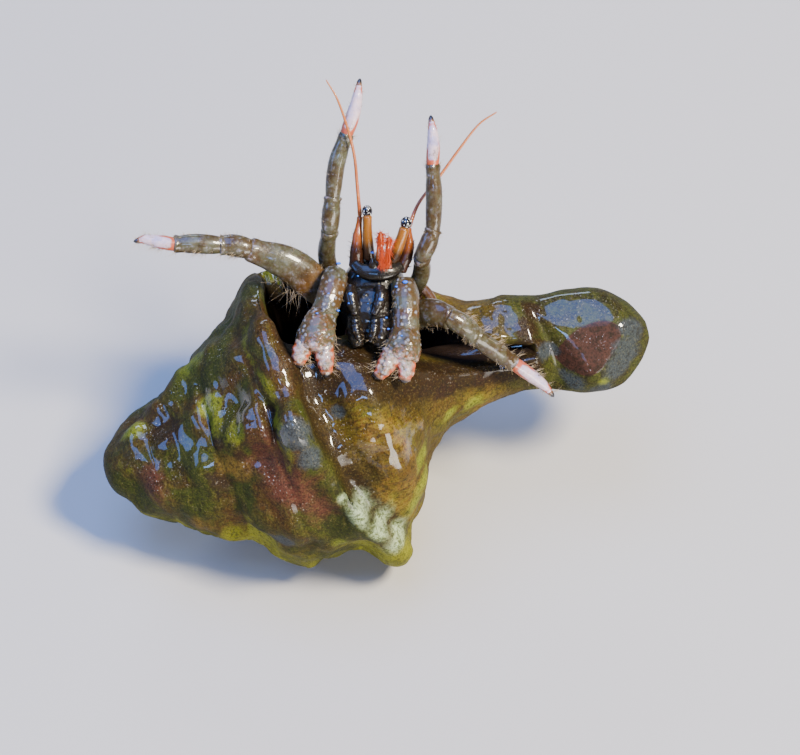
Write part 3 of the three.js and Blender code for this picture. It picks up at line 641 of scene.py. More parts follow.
# %% Measures for the finish, and the shell
# Rows stand closer at the two ends, where the outline turns round.
SHELL_ROWS = np.concatenate([[0.01, 0.04, 0.09, 0.16, 0.25, 0.35, 0.47], np.linspace(0.6, 34.8, 280),
                             [34.95, 35.08, 35.2, 35.3, 35.37]])
OUTER_STEPS, HOLLOW_STEPS = 210, 128
OVAL_ALONG, OVAL_TURN, OVAL_LONG, OVAL_SHORT = 31.4, 50, 2.5, 1.5
RIM_TURN, RIM_SPREAD = 128, 30


def oval_share(s, turn):
    """1 within a tilted oval on the canal's end, with a sharp edge."""
    ahead, down = s - OVAL_ALONG, np.radians(turn - OVAL_TURN) * 3.0
    far = np.hypot((0.80 * ahead - 0.6 * down) / OVAL_LONG, (0.6 * ahead + 0.80 * down) / OVAL_SHORT)
    return smooth((1.1 - far) / 0.2)


def shell_measures(s, turns, inside, lift):
    """Every measure as a pair: the values on the grid, and the two values at the poles."""
    turn, a = wrapped(turns), np.radians(turns)
    radius = outer_radius(s + 0 * turns, turns)
    past = s - last_shoulder(turn)
    rising = np.clip(np.gradient(radius - far_side(s), s[:, 0], axis=0), 0, 1) * knobby(s)
    reach = np.radians(turn - near_rim(s)) * radius
    by_mouth = smooth((s - 12.0) / 1.5) * (1 - smooth((s - 27.5) / 1.5))
    lathe = np.stack([np.cos(a), np.sin(a), np.broadcast_to(s / 10, a.shape)], axis=-1)
    measures = {
        "along": (np.broadcast_to(s, a.shape), [0, SHELL_LENGTH]),
        "past_shoulder": (past, [-12, 18]),
        "inside": (inside, [0, 0]),
        "relief": (lift + 0.5 * (radius - far_side(s)) * knobby(s), [0, 0]),
        "lathe": (lathe, [[0, 0, 0], [0, 0, 3.5]]),
        "flank": (rising * (1 - bump(past, 1.8)), [0, 0]),
        "mouth": (by_mouth * bump(reach, 3.0 - 1.7 * smooth((s - 19) / 3)), [0, 0]),
        "oval": (oval_share(s, turn) * (1 - inside), [0, 0]),
        "rim": (bump(turn - RIM_TURN, RIM_SPREAD) * (s < 19.5) * (1 - inside), [0, 0])}
    for colour, spots in PATCHES.items():
        measures[colour] = (spread(s, turns, spots) * (1 - inside), [0, 0])
    return {name: np.concatenate([grid.reshape((-1,) + grid.shape[2:]), poles])
            for name, (grid, poles) in measures.items()}


def make_shell():
    """Sections along the axis, lifted by the lumps along their normals and kept above the floor,
    closed at the apex and at the canal's end."""
    points, turns, inside = shell_sections(SHELL_ROWS, OUTER_STEPS, HOLLOW_STEPS)
    normal = grid_normals(points)
    outward = points - (APEX + SHELL_ROWS[:, None, None] * AXIS)
    normal *= np.sign(np.sum(normal[:, 20] * outward[:, 20]))
    s = SHELL_ROWS[:, None]
    lift = lumps(points, s, inside)
    points = points + normal * lift[..., None]
    points[..., 2] = np.maximum(points[..., 2], 0)
    poles = np.array([APEX, APEX + AXIS * SHELL_LENGTH + SHELL_UP * 0.1])
    points, faces = closed_grid(points, poles)
    make_piece("shell", points, faces,
               ["shell_spire", "shell_body_whorl", "shell_canal", "shell_canal_end"],
               shell_measures(s, turns, inside, lift))


make_shell()
print("rows along the shell:", len(SHELL_ROWS))

# %% [markdown]
# ## The crab's own directions
# The crab leans out of the mouth of the shell with its back to the far side. Its parts could be
# placed in the frame's own directions, but they are easier to judge from the crab's mouth: towards
# its left, towards its back, and forward. Its right is on the viewer's left, as when one faces
# another person.

# %% Points on the crab
MOUTH = np.array([0.08, 0.41, 18.4])
LEAN = np.radians(50)
TO_LEFT = np.array([1.0, 0, 0])
TO_BACK = np.array([0, np.sin(LEAN), np.cos(LEAN)])
TO_FRONT = np.array([0, -np.cos(LEAN), np.sin(LEAN)])
CRAB_WAYS = np.stack([TO_LEFT, TO_BACK, TO_FRONT])


def on_crab(points):
    """Places in the frame of points given as mm to the left, to the back and forward of the mouth."""
    return MOUTH + np.asarray(points, float) @ CRAB_WAYS


def middle_line(knots, t):
    """Points and directions on the smooth line through the knots, t from 0 to 1 by length, and
    that length."""
    knots = np.asarray(knots, float)
    reach = np.concatenate([[0], np.cumsum(np.linalg.norm(np.diff(knots, axis=0), axis=1))])
    coordinates = [curve(*zip(reach, knots[:, i])) for i in range(3)]
    fine = np.linspace(0, reach[-1], 200)
    dense = np.stack([c(fine) for c in coordinates], axis=1)
    length = np.concatenate([[0], np.cumsum(np.linalg.norm(np.diff(dense, axis=0), axis=1))])
    at = np.interp(np.asarray(t) * length[-1], length, fine)
    place = np.stack([c(at) for c in coordinates], axis=1)
    step = 0.01 * reach[-1]
    ahead = np.stack([c(np.minimum(at + step, reach[-1])) for c in coordinates], axis=1)
    behind = np.stack([c(np.maximum(at - step, 0)) for c in coordinates], axis=1)
    return place, unit(ahead - behind), length[-1]


print("the mouth in millimetres:", on_crab([0, 0, 0]))

# %% [markdown]
# ## The skin so far, and its grains
# The crab's pieces are gathered in one list of points, with marks that say how pale, warm or dark
# each point is. Many of them carry grains, which are bells at random places.

# %% Gathering the skin
skin = {"points": [], "faces": [], "fans": [], "count": 0, "marks": {}}
MARKS = ["pale", "warm", "amber", "dark", "soft", "blue", "grain"]
surfaces = {}


def add_to_skin(points, tips, T, A, lift, marks):
    """One more tube; a mark is a number or a formula of place along, angle round and lift."""
    points, (quads, *fans) = closed_grid(points, tips, skin["count"])
    skin["points"].append(points)
    skin["faces"].append(quads)
    skin["fans"] += fans
    skin["count"] += len(points)
    for mark in MARKS:
        value = marks.get(mark, 0.0)
        value = value(T, A, lift) if callable(value) else value
        value = np.broadcast_to(value, T.shape).ravel()
        skin["marks"].setdefault(mark, []).append(np.concatenate([value, [value[0], value[-1]]]))


def grains(t, angle, length, girth, count, size, height, seed):
    """Low round grains: the tallest of many bells at random places on the unrolled surface."""
    draw = np.random.default_rng(seed)
    at_t, at_a = draw.uniform(0.04, 0.96, count), draw.uniform(0, 2 * np.pi, count)
    tall = draw.uniform(0.5, 1.0, count) * height
    wide = draw.uniform(0.7, 1.3, count) * size
    best = np.zeros(t.shape)
    for ct, ca, h, w in zip(at_t, at_a, tall, wide):
        across = (angle - ca + np.pi) % (2 * np.pi) - np.pi
        best = np.maximum(best, h * bump(np.hypot((t - ct) * length, across * girth), w))
    return best


print("marks kept on the skin:", ", ".join(MARKS))

# %% [markdown]
# ## A limb piece is an oval carried along a bent line
# Legs, claws, eye stalks and feelers are all the same idea: an oval section that changes width
# along a smooth middle line and rounds off at both ends. A Skin modifier could wrap such a line,
# but it can't keep an oval turned one way. Each joint looks right because a piece starts narrow
# inside the wider end of the one before, as horny tubes do. What differs from piece to piece is put
# on top: grains, ridges, and how pale, warm or dark it is.

# %% The limb function
END_POWER = 2.4


def rounded_ends(t, length, width, blunt):
    """Super-oval ends: 1 along the piece, and (1 - (1 - x)^2.4)^(1/2.4) towards each end, where x
    counts from the end in shares of the width."""
    ends = 1.0
    for reach, share in ((t, blunt[0]), (1 - t, blunt[1])):
        x = np.clip(reach * length / (share * width), 0, 1)
        ends = ends * (1 - (1 - x) ** END_POWER) ** (1 / END_POWER)
    return ends


def limb(name, line, size, flat=1.0, blunt=(0.5, 0.45), facing=TO_FRONT, rings=40, sides=32,
         grain=None, marks=None, wave=None, on_body=True, tuck=0.0):
    """An oval of half width size(t) and half depth flat times that, square to the middle line and
    turned to face one way. Rows stand closer at the ends. A piece may be tucked into the one
    before by starting that much earlier."""
    t = (1 - np.cos(np.pi * (np.arange(rings) + 0.5) / rings)) / 2
    line = np.array(on_crab(line) if on_body else line, float)
    line[0] -= tuck * unit(line[1] - line[0])
    place, along, length = middle_line(line, t)
    width = curve(*size)(t)
    wide = unit(np.cross(along, facing))
    deep = np.cross(wide, along)
    ends = rounded_ends(t, length, width, blunt)[:, None]
    T, A = np.meshgrid(t, turn_round(sides), indexing="ij")
    lift = grains(T, A, length, width.mean(), *grain) if grain else np.zeros(T.shape)
    if wave:
        lift = lift + wave(T, A)
    plain = width[:, None] * ends
    swell = lift * np.sqrt(ends)
    points = oval_rings(place, wide, deep, plain + swell, plain * flat + swell, A)
    tips, _, _ = middle_line(line, [0, 1])
    surfaces[name] = dict(points=points, centre=place, index=len(surfaces))
    add_to_skin(points, tips, T, A, lift, marks or {})


def waist(a, b, c):
    """Half widths of a leg piece: narrow where it leaves the joint, full along most of it."""
    return [0, a * 0.92], [0.25, b], [0.7, b], [1, c]


def taper(a, b, c):
    """Half widths of a foot: fullest at a third of the way, thin at the tip."""
    return [0, a], [0.3, b], [0.75, c], [1, 0.12]


print("half widths of a leg piece:", waist(0.5, 0.55, 0.5))

# %% [markdown]
# ## Trunk, shield and soft tail
# The trunk is dark, wet and mostly hidden between the claws. Its upper side is a hard shield; behind
# it the back is soft, and the soft tail curls away under the wall of the shell.

# %% Trunk and tail
TRUNK_FACING = unit(TO_BACK + 0.2 * TO_LEFT)


def trunk_folds(T, A):
    """A dip down the middle of the back, a groove behind the shield and low folds on the sides."""
    top = np.clip(np.sin(A), 0, 1)
    groove = -0.13 * bump(T - 0.62, 0.03) * smooth(top * 2)
    middle = -0.07 * bump((A - 0.5 * np.pi), 0.18) * smooth((T - 0.1) / 0.1)
    folds = 0.05 * np.sin(T * 46) * (1 - smooth(top * 2)) * smooth((T - 0.12) / 0.1)
    return groove + middle + folds


limb("chest", [[-0.5, 0.3, -0.4], [-0.35, 0.35, -2.6], [-0.2, -0.1, -4.6], [0, -0.8, -5.9]],
     [[0, 1.6], [0.3, 2.0], [0.7, 1.95], [1, 1.4]], flat=1.35, blunt=(0.55, 0.6),
     facing=TRUNK_FACING, rings=90, sides=96, wave=trunk_folds,
     marks={"dark": lambda T, A, L: 0.95 - 0.5 * smooth(np.sin(A) * 3) * smooth((T - 0.1) / 0.1),
            "soft": lambda T, A, L: 0.8 * smooth((T - 0.62) / 0.06), "grain": 0.2})

tail_line = on_shell(np.array([18.6, 18.2, 17.4, 16.4]), np.array([4.6, 5.3, 5.5, 5.5]),
                     np.array([-62.0, -85.0, -110.0, -135.0]))
limb("abdomen", tail_line, [[0, 1.25], [0.3, 1.35], [0.8, 1.1], [1, 0.7]], blunt=(0.7, 0.9),
     facing=SHELL_UP, rings=50, sides=40, on_body=False,
     wave=lambda T, A: 0.05 * np.sin(T * 60), marks={"soft": 1.0})
print("trunk and tail:", ", ".join(surfaces))

# %% [markdown]
# ## Claws
# The two claws are about equal and hang in front of the mouth, fingers down. They are the grainiest
# part: rounded grains, pale on brown, with white fingers, orange-red patches and dark spoon tips.
# First come the marks. Each is a formula of the place along the piece, the angle and the lift, so
# that a colour sits on the grain or the edge that it belongs to.

# %% Marks of the claws
def grain_tops(T, A, lift):
    """Grains are paler than the skin between them."""
    return np.clip(4.0 * np.maximum(lift - 0.025, 0), 0, 1)


def palm_pale(T, A, lift):
    """Grains again, and paler altogether towards the fingers."""
    return np.clip(0.42 * smooth((T - 0.5) / 0.5) + 4.5 * np.maximum(lift - 0.02, 0), 0, 1)


def finger_pale(T, A, lift):
    """White from the root on, whitest on the grains."""
    return np.clip(0.34 + 0.12 * smooth(T * 2.2) + 6 * lift, 0, 1)


def warm_spots(share, along, round_, level):
    """A mark of scattered orange spots, where a slanting wave rises above a level."""
    return lambda T, A, lift: share * (np.sin(T * along + A * round_) > level)


def finger_warm(T, A, lift):
    """Orange-red along the outer side of a finger and in spots at its root."""
    side = smooth(0.9 * np.abs(np.cos(A)) - 0.15)
    edge = 0.5 * side * bump(T - 0.5, 0.35) + 0.35 * smooth((T - 0.6) / 0.35)
    return np.clip(0.18 + edge + 0.1 * (1 - smooth(lift / 0.03)), 0, 1)


def finger_teeth(T, A):
    """Blunt teeth in a row along both edges of a finger."""
    return 0.05 * (np.abs(np.sin(5 * np.pi * T)) - 0.6) * smooth(2.2 * np.abs(np.cos(A)) - 0.9)


print("how pale a finger's tip is between grains:", finger_pale(1.0, 0.0, 0.0))

# %% [markdown]
# Each piece of a claw is a bent line of three points. A claw has a short arm, a wrist, a palm, and
# two fingers, of which the outer one is fixed. Grains are given as number, size, height and seed.

# %% Arms, wrists, palms and fingers
claws = {
    "right": {
        "arm": [[-2.6, -0.5, -2.2], [-2.8, 0.9, -1.5], [-2.65, 1.8, -0.6]],
        "wrist": [[-2.5, 1.8, -0.35], [-2.8, 0.7, 0.35], [-3.3, -0.9, 0.75]],
        "palm": [[-3.25, -0.7, 0.7], [-3.65, -1.8, 1.1], [-4.0, -3.3, 1.4]],
        "fixed": [[-4.2, -2.3, 1.3], [-4.68, -3.2, 1.5], [-4.86, -4.15, 1.5]],
        "finger": [[-3.5, -2.3, 1.35], [-3.22, -3.6, 1.6], [-3.12, -4.75, 1.7]]},
    "left": {
        "arm": [[1.9, -1.0, -2.2], [1.95, 0.2, -1.5], [1.65, 1.1, -0.6]],
        "wrist": [[1.5, 1.15, -0.35], [1.75, -0.1, 0.4], [1.78, -1.95, 0.8]],
        "palm": [[1.8, -1.65, 0.75], [1.65, -2.7, 1.1], [1.4, -3.8, 1.3]],
        "fixed": [[1.62, -3.0, 1.2], [1.78, -4.2, 1.35], [1.6, -5.1, 1.4]],
        "finger": [[1.05, -3.1, 1.3], [0.45, -4.15, 1.5], [-0.1, -4.85, 1.6]]}}

for side, parts in claws.items():
    wide = 1.06 if side == "right" else 0.98
    limb(f"claw_{side}_arm", parts["arm"], waist(0.6, 0.66, 0.66), rings=50, tuck=0.3,
         blunt=(0.3, 0.3), grain=(60, 0.09, 0.03, 19), marks={"dark": 0.45, "grain": 0.5})
    limb(f"claw_{side}_wrist", parts["wrist"], waist(0.66, 0.8, 0.82), flat=0.9, rings=64, sides=56,
         blunt=(0.35, 0.22), grain=(170, 0.085, 0.05, 21), tuck=0.1,
         marks={"pale": grain_tops, "dark": lambda T, A, lift: 0.35 * (1 - smooth(T / 0.3)),
                "warm": warm_spots(0.35, 31, 5, 0.8), "grain": 1.0})
    limb(f"claw_{side}_palm", parts["palm"],
         [[0, 0.74], [0.35, 0.96 * wide], [0.75, 1.14 * wide], [1, 0.95 * wide]], flat=0.75, rings=64,
         sides=56, blunt=(0.3, 0.3), tuck=0.2, grain=(200, 0.10, 0.07, 31),
         marks={"pale": palm_pale, "warm": warm_spots(0.45, 37, 7, 0.7), "grain": 1.0})
    for part, seed in (("fixed", 41), ("finger", 43)):
        limb(f"claw_{side}_{part}", parts[part], [[0, 0.66], [0.5, 0.58], [0.8, 0.42], [1, 0.20]],
             flat=0.85, rings=72, sides=52, blunt=(0.4, 0.6), grain=(70, 0.11, 0.035, seed),
             wave=finger_teeth, marks={"pale": finger_pale, "warm": finger_warm, "grain": 0.9})
print("pieces with the claws:", len(surfaces))

# %% [markdown]
# ## Walking legs
# Feet are white and lilac, with orange-red sides, root and tip; the legs above them are mottled,
# with faint pale lines. The outstretched thigh has an orange-brown patch.

# %% Marks of the legs
def foot_pale(T, A, lift):
    """Lilac at the root, white further on."""
    return 0.55 + 0.4 * smooth(T * 1.6)


def foot_warm(T, A, lift):
    """Two orange-red lines along the foot, an orange root and a touch of it at the tip."""
    lines = smooth(1.5 * np.cos(2 * A) + 0.6) * (1 - 0.45 * smooth((T - 0.3) / 0.3))
    return np.clip(0.66 * lines + 0.75 * bump(T - 0.13, 0.10) + 0.5 * bump(T - 0.85, 0.07), 0, 1)


def leg_lines(T, A, lift):
    """Faint pale lines along a leg piece and a pale end."""
    return 0.12 + 0.1 * smooth(1.5 * np.cos(3 * A) - 0.6) + 0.14 * bump(T - 0.95, 0.05)


def thigh_patch(T, A, lift):
    """The orange-brown patch on the upper face of the outstretched thigh."""
    return 0.34 * bump(T - 0.3, 0.13) * smooth(0.5 + np.sin(A))


def joint_lips(T, A):
    """The far end of a piece flares into a low lip, uneven round the joint."""
    return 0.05 * bump(T - 0.94, 0.04) * (1 + 0.6 * np.cos(3 * A)) - 0.03 * bump(T - 0.8, 0.08)


def leg_marks(leg, part):
    """The marks of one piece of a leg, by what it is."""
    if part == "foot":
        return {"pale": foot_pale, "warm": foot_warm, "grain": 0.12}
    marks = {"pale": leg_lines, "grain": 0.15, "warm": lambda T, A, lift: 0.3 * bump(T - 0.06, 0.05)}
    if part == "thigh":
        marks["dark"] = 0.3
    if (leg, part) == ("leg3_right", "thigh"):
        marks["amber"] = thigh_patch
    return marks


print("marks of a shin:", ", ".join(leg_marks("leg2_left", "shin")))

# %% [markdown]
# The first pair of legs is lifted beside the eyes and the second reaches out sideways. The last
# two pairs are tiny and brace the crab in the mouth of the shell. Each piece is a line, its half
# widths and how flat it is.

# %% Legs
legs = {
    "leg2_right": {
        "thigh": ([[-2.7, 1.1, -3.5], [-3.15, 2.7, -2.0], [-2.95, 4.4, -0.05]],
                  waist(0.5, 0.55, 0.5), 1.1),
        "knee": ([[-2.95, 4.3, -0.1], [-2.85, 5.4, 0.35], [-2.75, 6.45, 0.5]],
                 waist(0.45, 0.56, 0.52), 1.0),
        "shin": ([[-2.76, 6.3, 0.48], [-2.5, 8.4, 0.9], [-1.88, 10.3, 1.2]],
                 waist(0.45, 0.52, 0.42), 1.0),
        "foot": ([[-1.92, 10.15, 1.18], [-1.45, 11.5, 1.5], [-1.22, 12.5, 1.7], [-1.08, 13.5, 1.6]],
                 taper(0.38, 0.44, 0.30), 1.0)},
    "leg2_left": {
        "thigh": ([[2.2, 0.6, -3.8], [2.7, 1.6, -2.2], [2.76, 2.75, -0.15]],
                  waist(0.5, 0.55, 0.5), 1.1),
        "knee": ([[2.74, 2.65, -0.15], [3.15, 3.5, 0.15], [3.47, 4.45, 0.3]],
                 waist(0.45, 0.55, 0.5), 1.0),
        "shin": ([[3.44, 4.3, 0.28], [3.5, 6.4, 0.7], [3.4, 8.45, 1.0]],
                 waist(0.45, 0.5, 0.4), 1.0),
        "foot": ([[3.4, 8.3, 1.0], [3.45, 9.6, 1.3], [3.4, 10.4, 1.45], [3.3, 11.25, 1.4]],
                 taper(0.36, 0.42, 0.29), 1.0)},
    "leg3_right": {
        "thigh": ([[-3.1, 0.2, -1.9], [-5.4, 2.2, -1.0], [-8.1, 3.2, -0.5]],
                  ([0, 0.85], [0.35, 1.15], [0.7, 0.98], [1, 0.66]), 0.55),
        "knee": ([[-8.0, 3.2, -0.5], [-8.9, 3.4, -0.4], [-9.8, 3.4, -0.3]],
                 waist(0.6, 0.68, 0.6), 0.8),
        "shin": ([[-9.65, 3.4, -0.3], [-11.2, 3.5, -0.1], [-12.65, 3.45, 0]],
                 waist(0.5, 0.6, 0.5), 0.8),
        "foot": ([[-12.5, 3.45, 0], [-13.7, 3.65, 0.1], [-14.4, 3.75, 0.1], [-14.95, 3.65, 0]],
                 taper(0.4, 0.44, 0.31), 1.0)},
    "leg3_left": {
        "thigh": ([[2.3, -0.9, -3.0], [3.4, -0.75, -1.5], [4.65, -1.12, -0.72]],
                  waist(0.7, 0.85, 0.65), 0.7),
        "knee": ([[4.5, -1.05, -0.7], [5.4, -1.6, -0.9], [6.2, -2.33, -1.43]],
                 waist(0.6, 0.65, 0.6), 0.8),
        "shin": ([[6.05, -2.22, -1.33], [7.3, -3.1, -2.2], [8.55, -3.93, -3.03]],
                 waist(0.5, 0.58, 0.5), 0.8),
        "foot": ([[8.4, -3.83, -2.95], [9.5, -4.6, -3.5], [10.3, -5.2, -3.8], [10.95, -5.9, -4.1]],
                 taper(0.4, 0.44, 0.31), 1.0)}}

for leg, parts in legs.items():
    for seed, (part, (line, size, flat)) in enumerate(parts.items()):
        foot = part == "foot"
        limb(f"{leg}_{part}", line, size, flat=flat, rings=48, sides=36, tuck=0.25,
             blunt=(0.25, 1.0 if foot else 0.2), grain=(30, 0.1, 0.02, 60 + seed),
             marks=leg_marks(leg, part), wave=None if foot else joint_lips)

small_legs = {
    "leg4_right": [[-1.9, 0.2, -4.9], [-2.9, 0.9, -5.2], [-3.6, 0.2, -4.7], [-3.9, -0.8, -4.2]],
    "leg4_left": [[1.7, 0.2, -4.9], [2.6, 0.9, -5.2], [3.3, 0.3, -4.9], [3.6, -0.5, -4.6]],
    "leg5_right": [[-1.5, 0.3, -6.0], [-2.4, 1.1, -6.6], [-3.0, 0.7, -6.4], [-3.3, 0.0, -6.0]],
    "leg5_left": [[1.2, 0.3, -5.8], [1.9, 1.0, -6.3], [2.4, 0.7, -6.2], [2.6, 0.1, -5.9]]}
for name, line in small_legs.items():
    limb(name, line, [[0, 0.34], [0.5, 0.32], [1, 0.26]], rings=30, sides=16,
         marks={"pale": 0.3, "soft": 0.3})
print("limb pieces so far:", len(surfaces), "points:", skin["count"])

# %% [markdown]
# ## Face, stalks and feelers
# Eye stalks and the roots of the big feelers are orange, darker at the foot. Below them hang the
# mouth legs, with ringed joints.

# %% Stalks, feeler roots and mouth legs
def rings_round(number, height):
    """Rings round a limb: sharp crests with wide valleys."""
    return lambda T, A: height * (np.abs(np.cos(np.pi * number * T)) ** 6 - 0.3)


def dark_foot(end, most):
    """Half dark all along, darker towards the foot, up to a place."""
    return lambda T, A, lift: 0.5 + most * (1 - smooth((T - end[0]) / end[1]))


stalks = {
    "right": ([[-0.5, 2.5, -0.6], [-0.6, 4.1, 0.05], [-0.62, 5.25, 0.3]],
              [[0, 0.37], [0.3, 0.34], [0.8, 0.28], [1, 0.3]]),
    "left": ([[0.85, 2.3, -0.6], [1.4, 3.6, 0.05], [1.7, 4.5, 0.3]],
             [[0, 0.4], [0.3, 0.38], [0.8, 0.32], [1, 0.33]])}
feeler_roots = {
    "right": [[-1.3, 2.0, -0.9], [-1.25, 3.6, -0.4], [-1.08, 5.2, -0.3]],
    "left": [[1.3, 1.8, -1.2], [1.95, 3.2, -1.0], [1.95, 4.5, -0.75]]}
jaw_legs = {
    "right": [[-1.3, -0.7, -0.2], [-1.4, -1.7, 0.25], [-1.15, -2.9, 0.3]],
    "left": [[0.25, -0.9, -0.2], [0.3, -1.8, 0.25], [0.0, -2.9, 0.3]]}

for side in ("right", "left"):
    line, size = stalks[side]
    limb(f"eye_stalk_{side}", line, size, rings=40, sides=24,
         marks={"amber": 0.9, "warm": lambda T, A, lift: 0.9 * (1 - smooth((T - 0.25) / 0.35)),
                "dark": dark_foot((0.15, 0.4), 0.5)})
    limb(f"feeler_root_{side}", feeler_roots[side], [[0, 0.5], [0.45, 0.38], [0.75, 0.24], [1, 0.15]],
         rings=50, sides=24, wave=rings_round(3, 0.03),
         marks={"warm": 0.9, "amber": 0.5, "dark": dark_foot((0.3, 0.35), 0.45)})
    limb(f"jaw_leg_{side}", jaw_legs[side], waist(0.5, 0.5, 0.35), rings=60, sides=28,
         wave=rings_round(4, 0.05),
         marks={"dark": 0.8, "pale": lambda T, A, lift: 4 * np.maximum(lift, 0), "grain": 0.4})
print("pieces with stalks and mouth legs:", len(surfaces))

# %% [markdown]
# ## Small parts of the face
# Between the stalks and the claws lie the scales of the eye stalks, the wide glossy front edge of
# the shield, the mound of the mouth and its ringed palps. Each is a rounded lump on the dark face.

# %% Face parts
def small(name, line, size, marks, rings=20, sides=16, **more):
    """A limb piece with fewer points."""
    limb(name, line, size, rings=rings, sides=sides, marks=marks, **more)


small("front_edge", [[-1.5, 2.35, -0.35], [-0.95, 1.85, -0.05], [0.0, 1.68, 0.05], [0.9, 1.8, -0.05],
                     [1.55, 2.2, -0.4]], [[0, 0.28], [0.3, 0.44], [0.7, 0.44], [1, 0.28]],
      {"dark": 0.9}, rings=60, flat=0.42)
small("mouth_mound", [[-0.4, 0.9, -0.6], [-0.45, -0.6, -0.25], [-0.5, -2.5, -0.35]],
      [[0, 1.1], [0.4, 1.45], [0.8, 1.2], [1, 0.8]], {"dark": 0.95, "grain": 0.6}, rings=80, sides=64,
      flat=0.55, grain=(60, 0.16, 0.12, 77), wave=rings_round(6, 0.03))
for side in (-1, 1):
    small(f"stalk_scale_{side}", [[0.2 + 0.45 * side, 1.9, 0.05], [0.2 + 0.5 * side, 2.6, 0.3]],
          [[0, 0.3], [0.5, 0.26], [1, 0.08]], {"dark": 0.8, "amber": 0.3}, flat=0.5)
    small(f"upper_palp_{side}", [[-0.75 + 0.9 * side, 0.9, 0.25], [-0.7 + 0.9 * side, 0.1, 0.62],
                                 [-0.8 + 0.55 * side, -0.95, 0.7]],
          [[0, 0.3], [0.5, 0.4], [1, 0.24]], {"dark": 0.85, "pale": 0.1, "grain": 0.5},
          rings=40, wave=rings_round(3, 0.05))
    small(f"lower_palp_{side}", [[-0.75 + 0.62 * side, -1.0, 0.5], [-0.75 + 0.55 * side, -1.9, 0.85],
                                 [-0.75 + 0.3 * side, -2.6, 0.8]],
          [[0, 0.26], [0.5, 0.3], [1, 0.15]], {"dark": 0.85, "pale": 0.1},
          rings=40, wave=rings_round(5, 0.05))
print("pieces with the face:", len(surfaces))

# %% [markdown]
# Bright blue spots dot the face and the claws. They could be colour alone, but they stand up a
# little and catch the light, so each is a low round button, pressed onto whatever skin stands
# foremost at its place.

# %% Blue spots
# To the left, to the back, radius.
BLUE_SPOTS = [(-2.4, 2.3, 0.17), (1.72, 1.12, 0.2), (-1.65, 0.39, 0.15), (0.21, 0.05, 0.17),
              (0.56, -1.08, 0.1), (-2.4, -0.65, 0.12), (-0.57, -0.21, 0.08), (0.69, -1.78, 0.11),
              (1.17, 0.83, 0.11), (-3.7, -0.82, 0.1), (-0.31, 2.95, 0.13), (-1.75, -0.2, 0.08),
              (-1.2, 1.5, 0.08), (1.95, -0.6, 0.09), (-3.0, 0.4, 0.08), (1.5, -2.2, 0.09)]
whole_skin = np.concatenate([shape["points"].reshape(-1, 3) for shape in surfaces.values()]) - MOUTH
skin_left, skin_back = whole_skin @ TO_LEFT, whole_skin @ TO_BACK
for number, (left, back, radius) in enumerate(BLUE_SPOTS):
    near = np.hypot(skin_left - left, skin_back - back) < 0.2
    front = (whole_skin[near] @ TO_FRONT).max() - 0.05
    small(f"blue_spot_{number}", [[left, back - radius / 2, front], [left, back + radius / 2, front]],
          [[0, radius], [1, radius]], {"blue": 1.0}, rings=12, sides=12, blunt=(1.0, 1.0), flat=0.6)
print("face parts:", len(surfaces), "pieces of skin,", skin["count"], "points")

# %% [markdown]
# ## One skin
# All these pieces meet and go through each other at the joints. A remesh could melt them together,
# but would blur the thin edges of horn, so they are joined as they are, as one piece that stands
# for all the nodes of flesh.

# %% Join the skin
LEG_PARTS = ("thigh", "knee", "shin", "foot")
FLESH = ["carapace_shield", "carapace_rear", "chest", "abdomen"]
FLESH += [f"{part}_{side}" for side in ("right", "left")
          for part in ("eye_stalk", "feeler_base", "jaw_leg", "leg4", "leg5")]
FLESH += [f"claw_{side}_{part}" for side in ("right", "left")
          for part in ("arm", "wrist", "palm", "finger")]
FLESH += [f"leg{number}_{side}_{part}" for number in (2, 3) for side in ("right", "left")
          for part in LEG_PARTS]
make_piece("crab_skin", np.concatenate(skin["points"]), skin["faces"] + skin["fans"],
           FLESH, {mark: np.concatenate(values) for mark, values in skin["marks"].items()})
print("plain solids that the skin stands for:", len(FLESH))

# %% [markdown]
# ## Eyes
# A crab's eye is a rounded cap full of facets, and here it looks black with white spots. The facets
# are too small to be worth faces of their own, so the shape is a smooth stretched ball and the
# spots are left to the finish.

# %% Eyes
def ball_grid(centre, radius, stretch, axis, rings=28, sides=40):
    """Rows of points from pole to pole of a ball stretched along its axis, the two poles, and how
    high each point of the rows lies, from -1 to 1."""
    axis = unit(axis)
    wide = unit(np.cross(axis, TO_LEFT + 0.3 * TO_BACK))
    deep = np.cross(axis, wide)
    slope = np.pi * (np.arange(rings) + 0.5)[:, None] / rings
    width = radius * np.sin(slope)
    places = centre - radius * stretch * np.cos(slope) * axis
    grid = oval_rings(places, wide[None], deep[None], width, width, turn_round(sides))
    poles = centre + radius * stretch * np.array([-1.0, 1.0])[:, None] * axis
    return grid, poles, np.repeat(-np.cos(slope), sides)


EYES = {"right": ([-0.63, 5.5, 0.36], 0.33, [-0.05, 1.0, 0.25]),
        "left": ([1.78, 4.77, 0.36], 0.36, [0.35, 1.0, 0.25])}
for side, (centre, radius, up) in EYES.items():
    grid, poles, height = ball_grid(on_crab(centre), radius, 1.12, up @ CRAB_WAYS)
    points, faces = closed_grid(grid, poles)
    make_piece(f"eye_{side}", points, faces, [f"eye_{side}"],
               {"height": np.append(height, [-1, 1])})
print("eyes, with their radius in millimetres:", {side: eye[1] for side, eye in EYES.items()})

# %% [markdown]
# ## Feelers
# A feeler is an orange whip of many short rings, thinner to the end. A curve with a bevel would be
# a smooth wire, so the whip is a grid whose width swells in every ring. Where a point lies along
# the whip and along its ring is kept for the finish.

# %% The whip function
ROWS_PER_RING, WHIP_SIDES = 4, 12


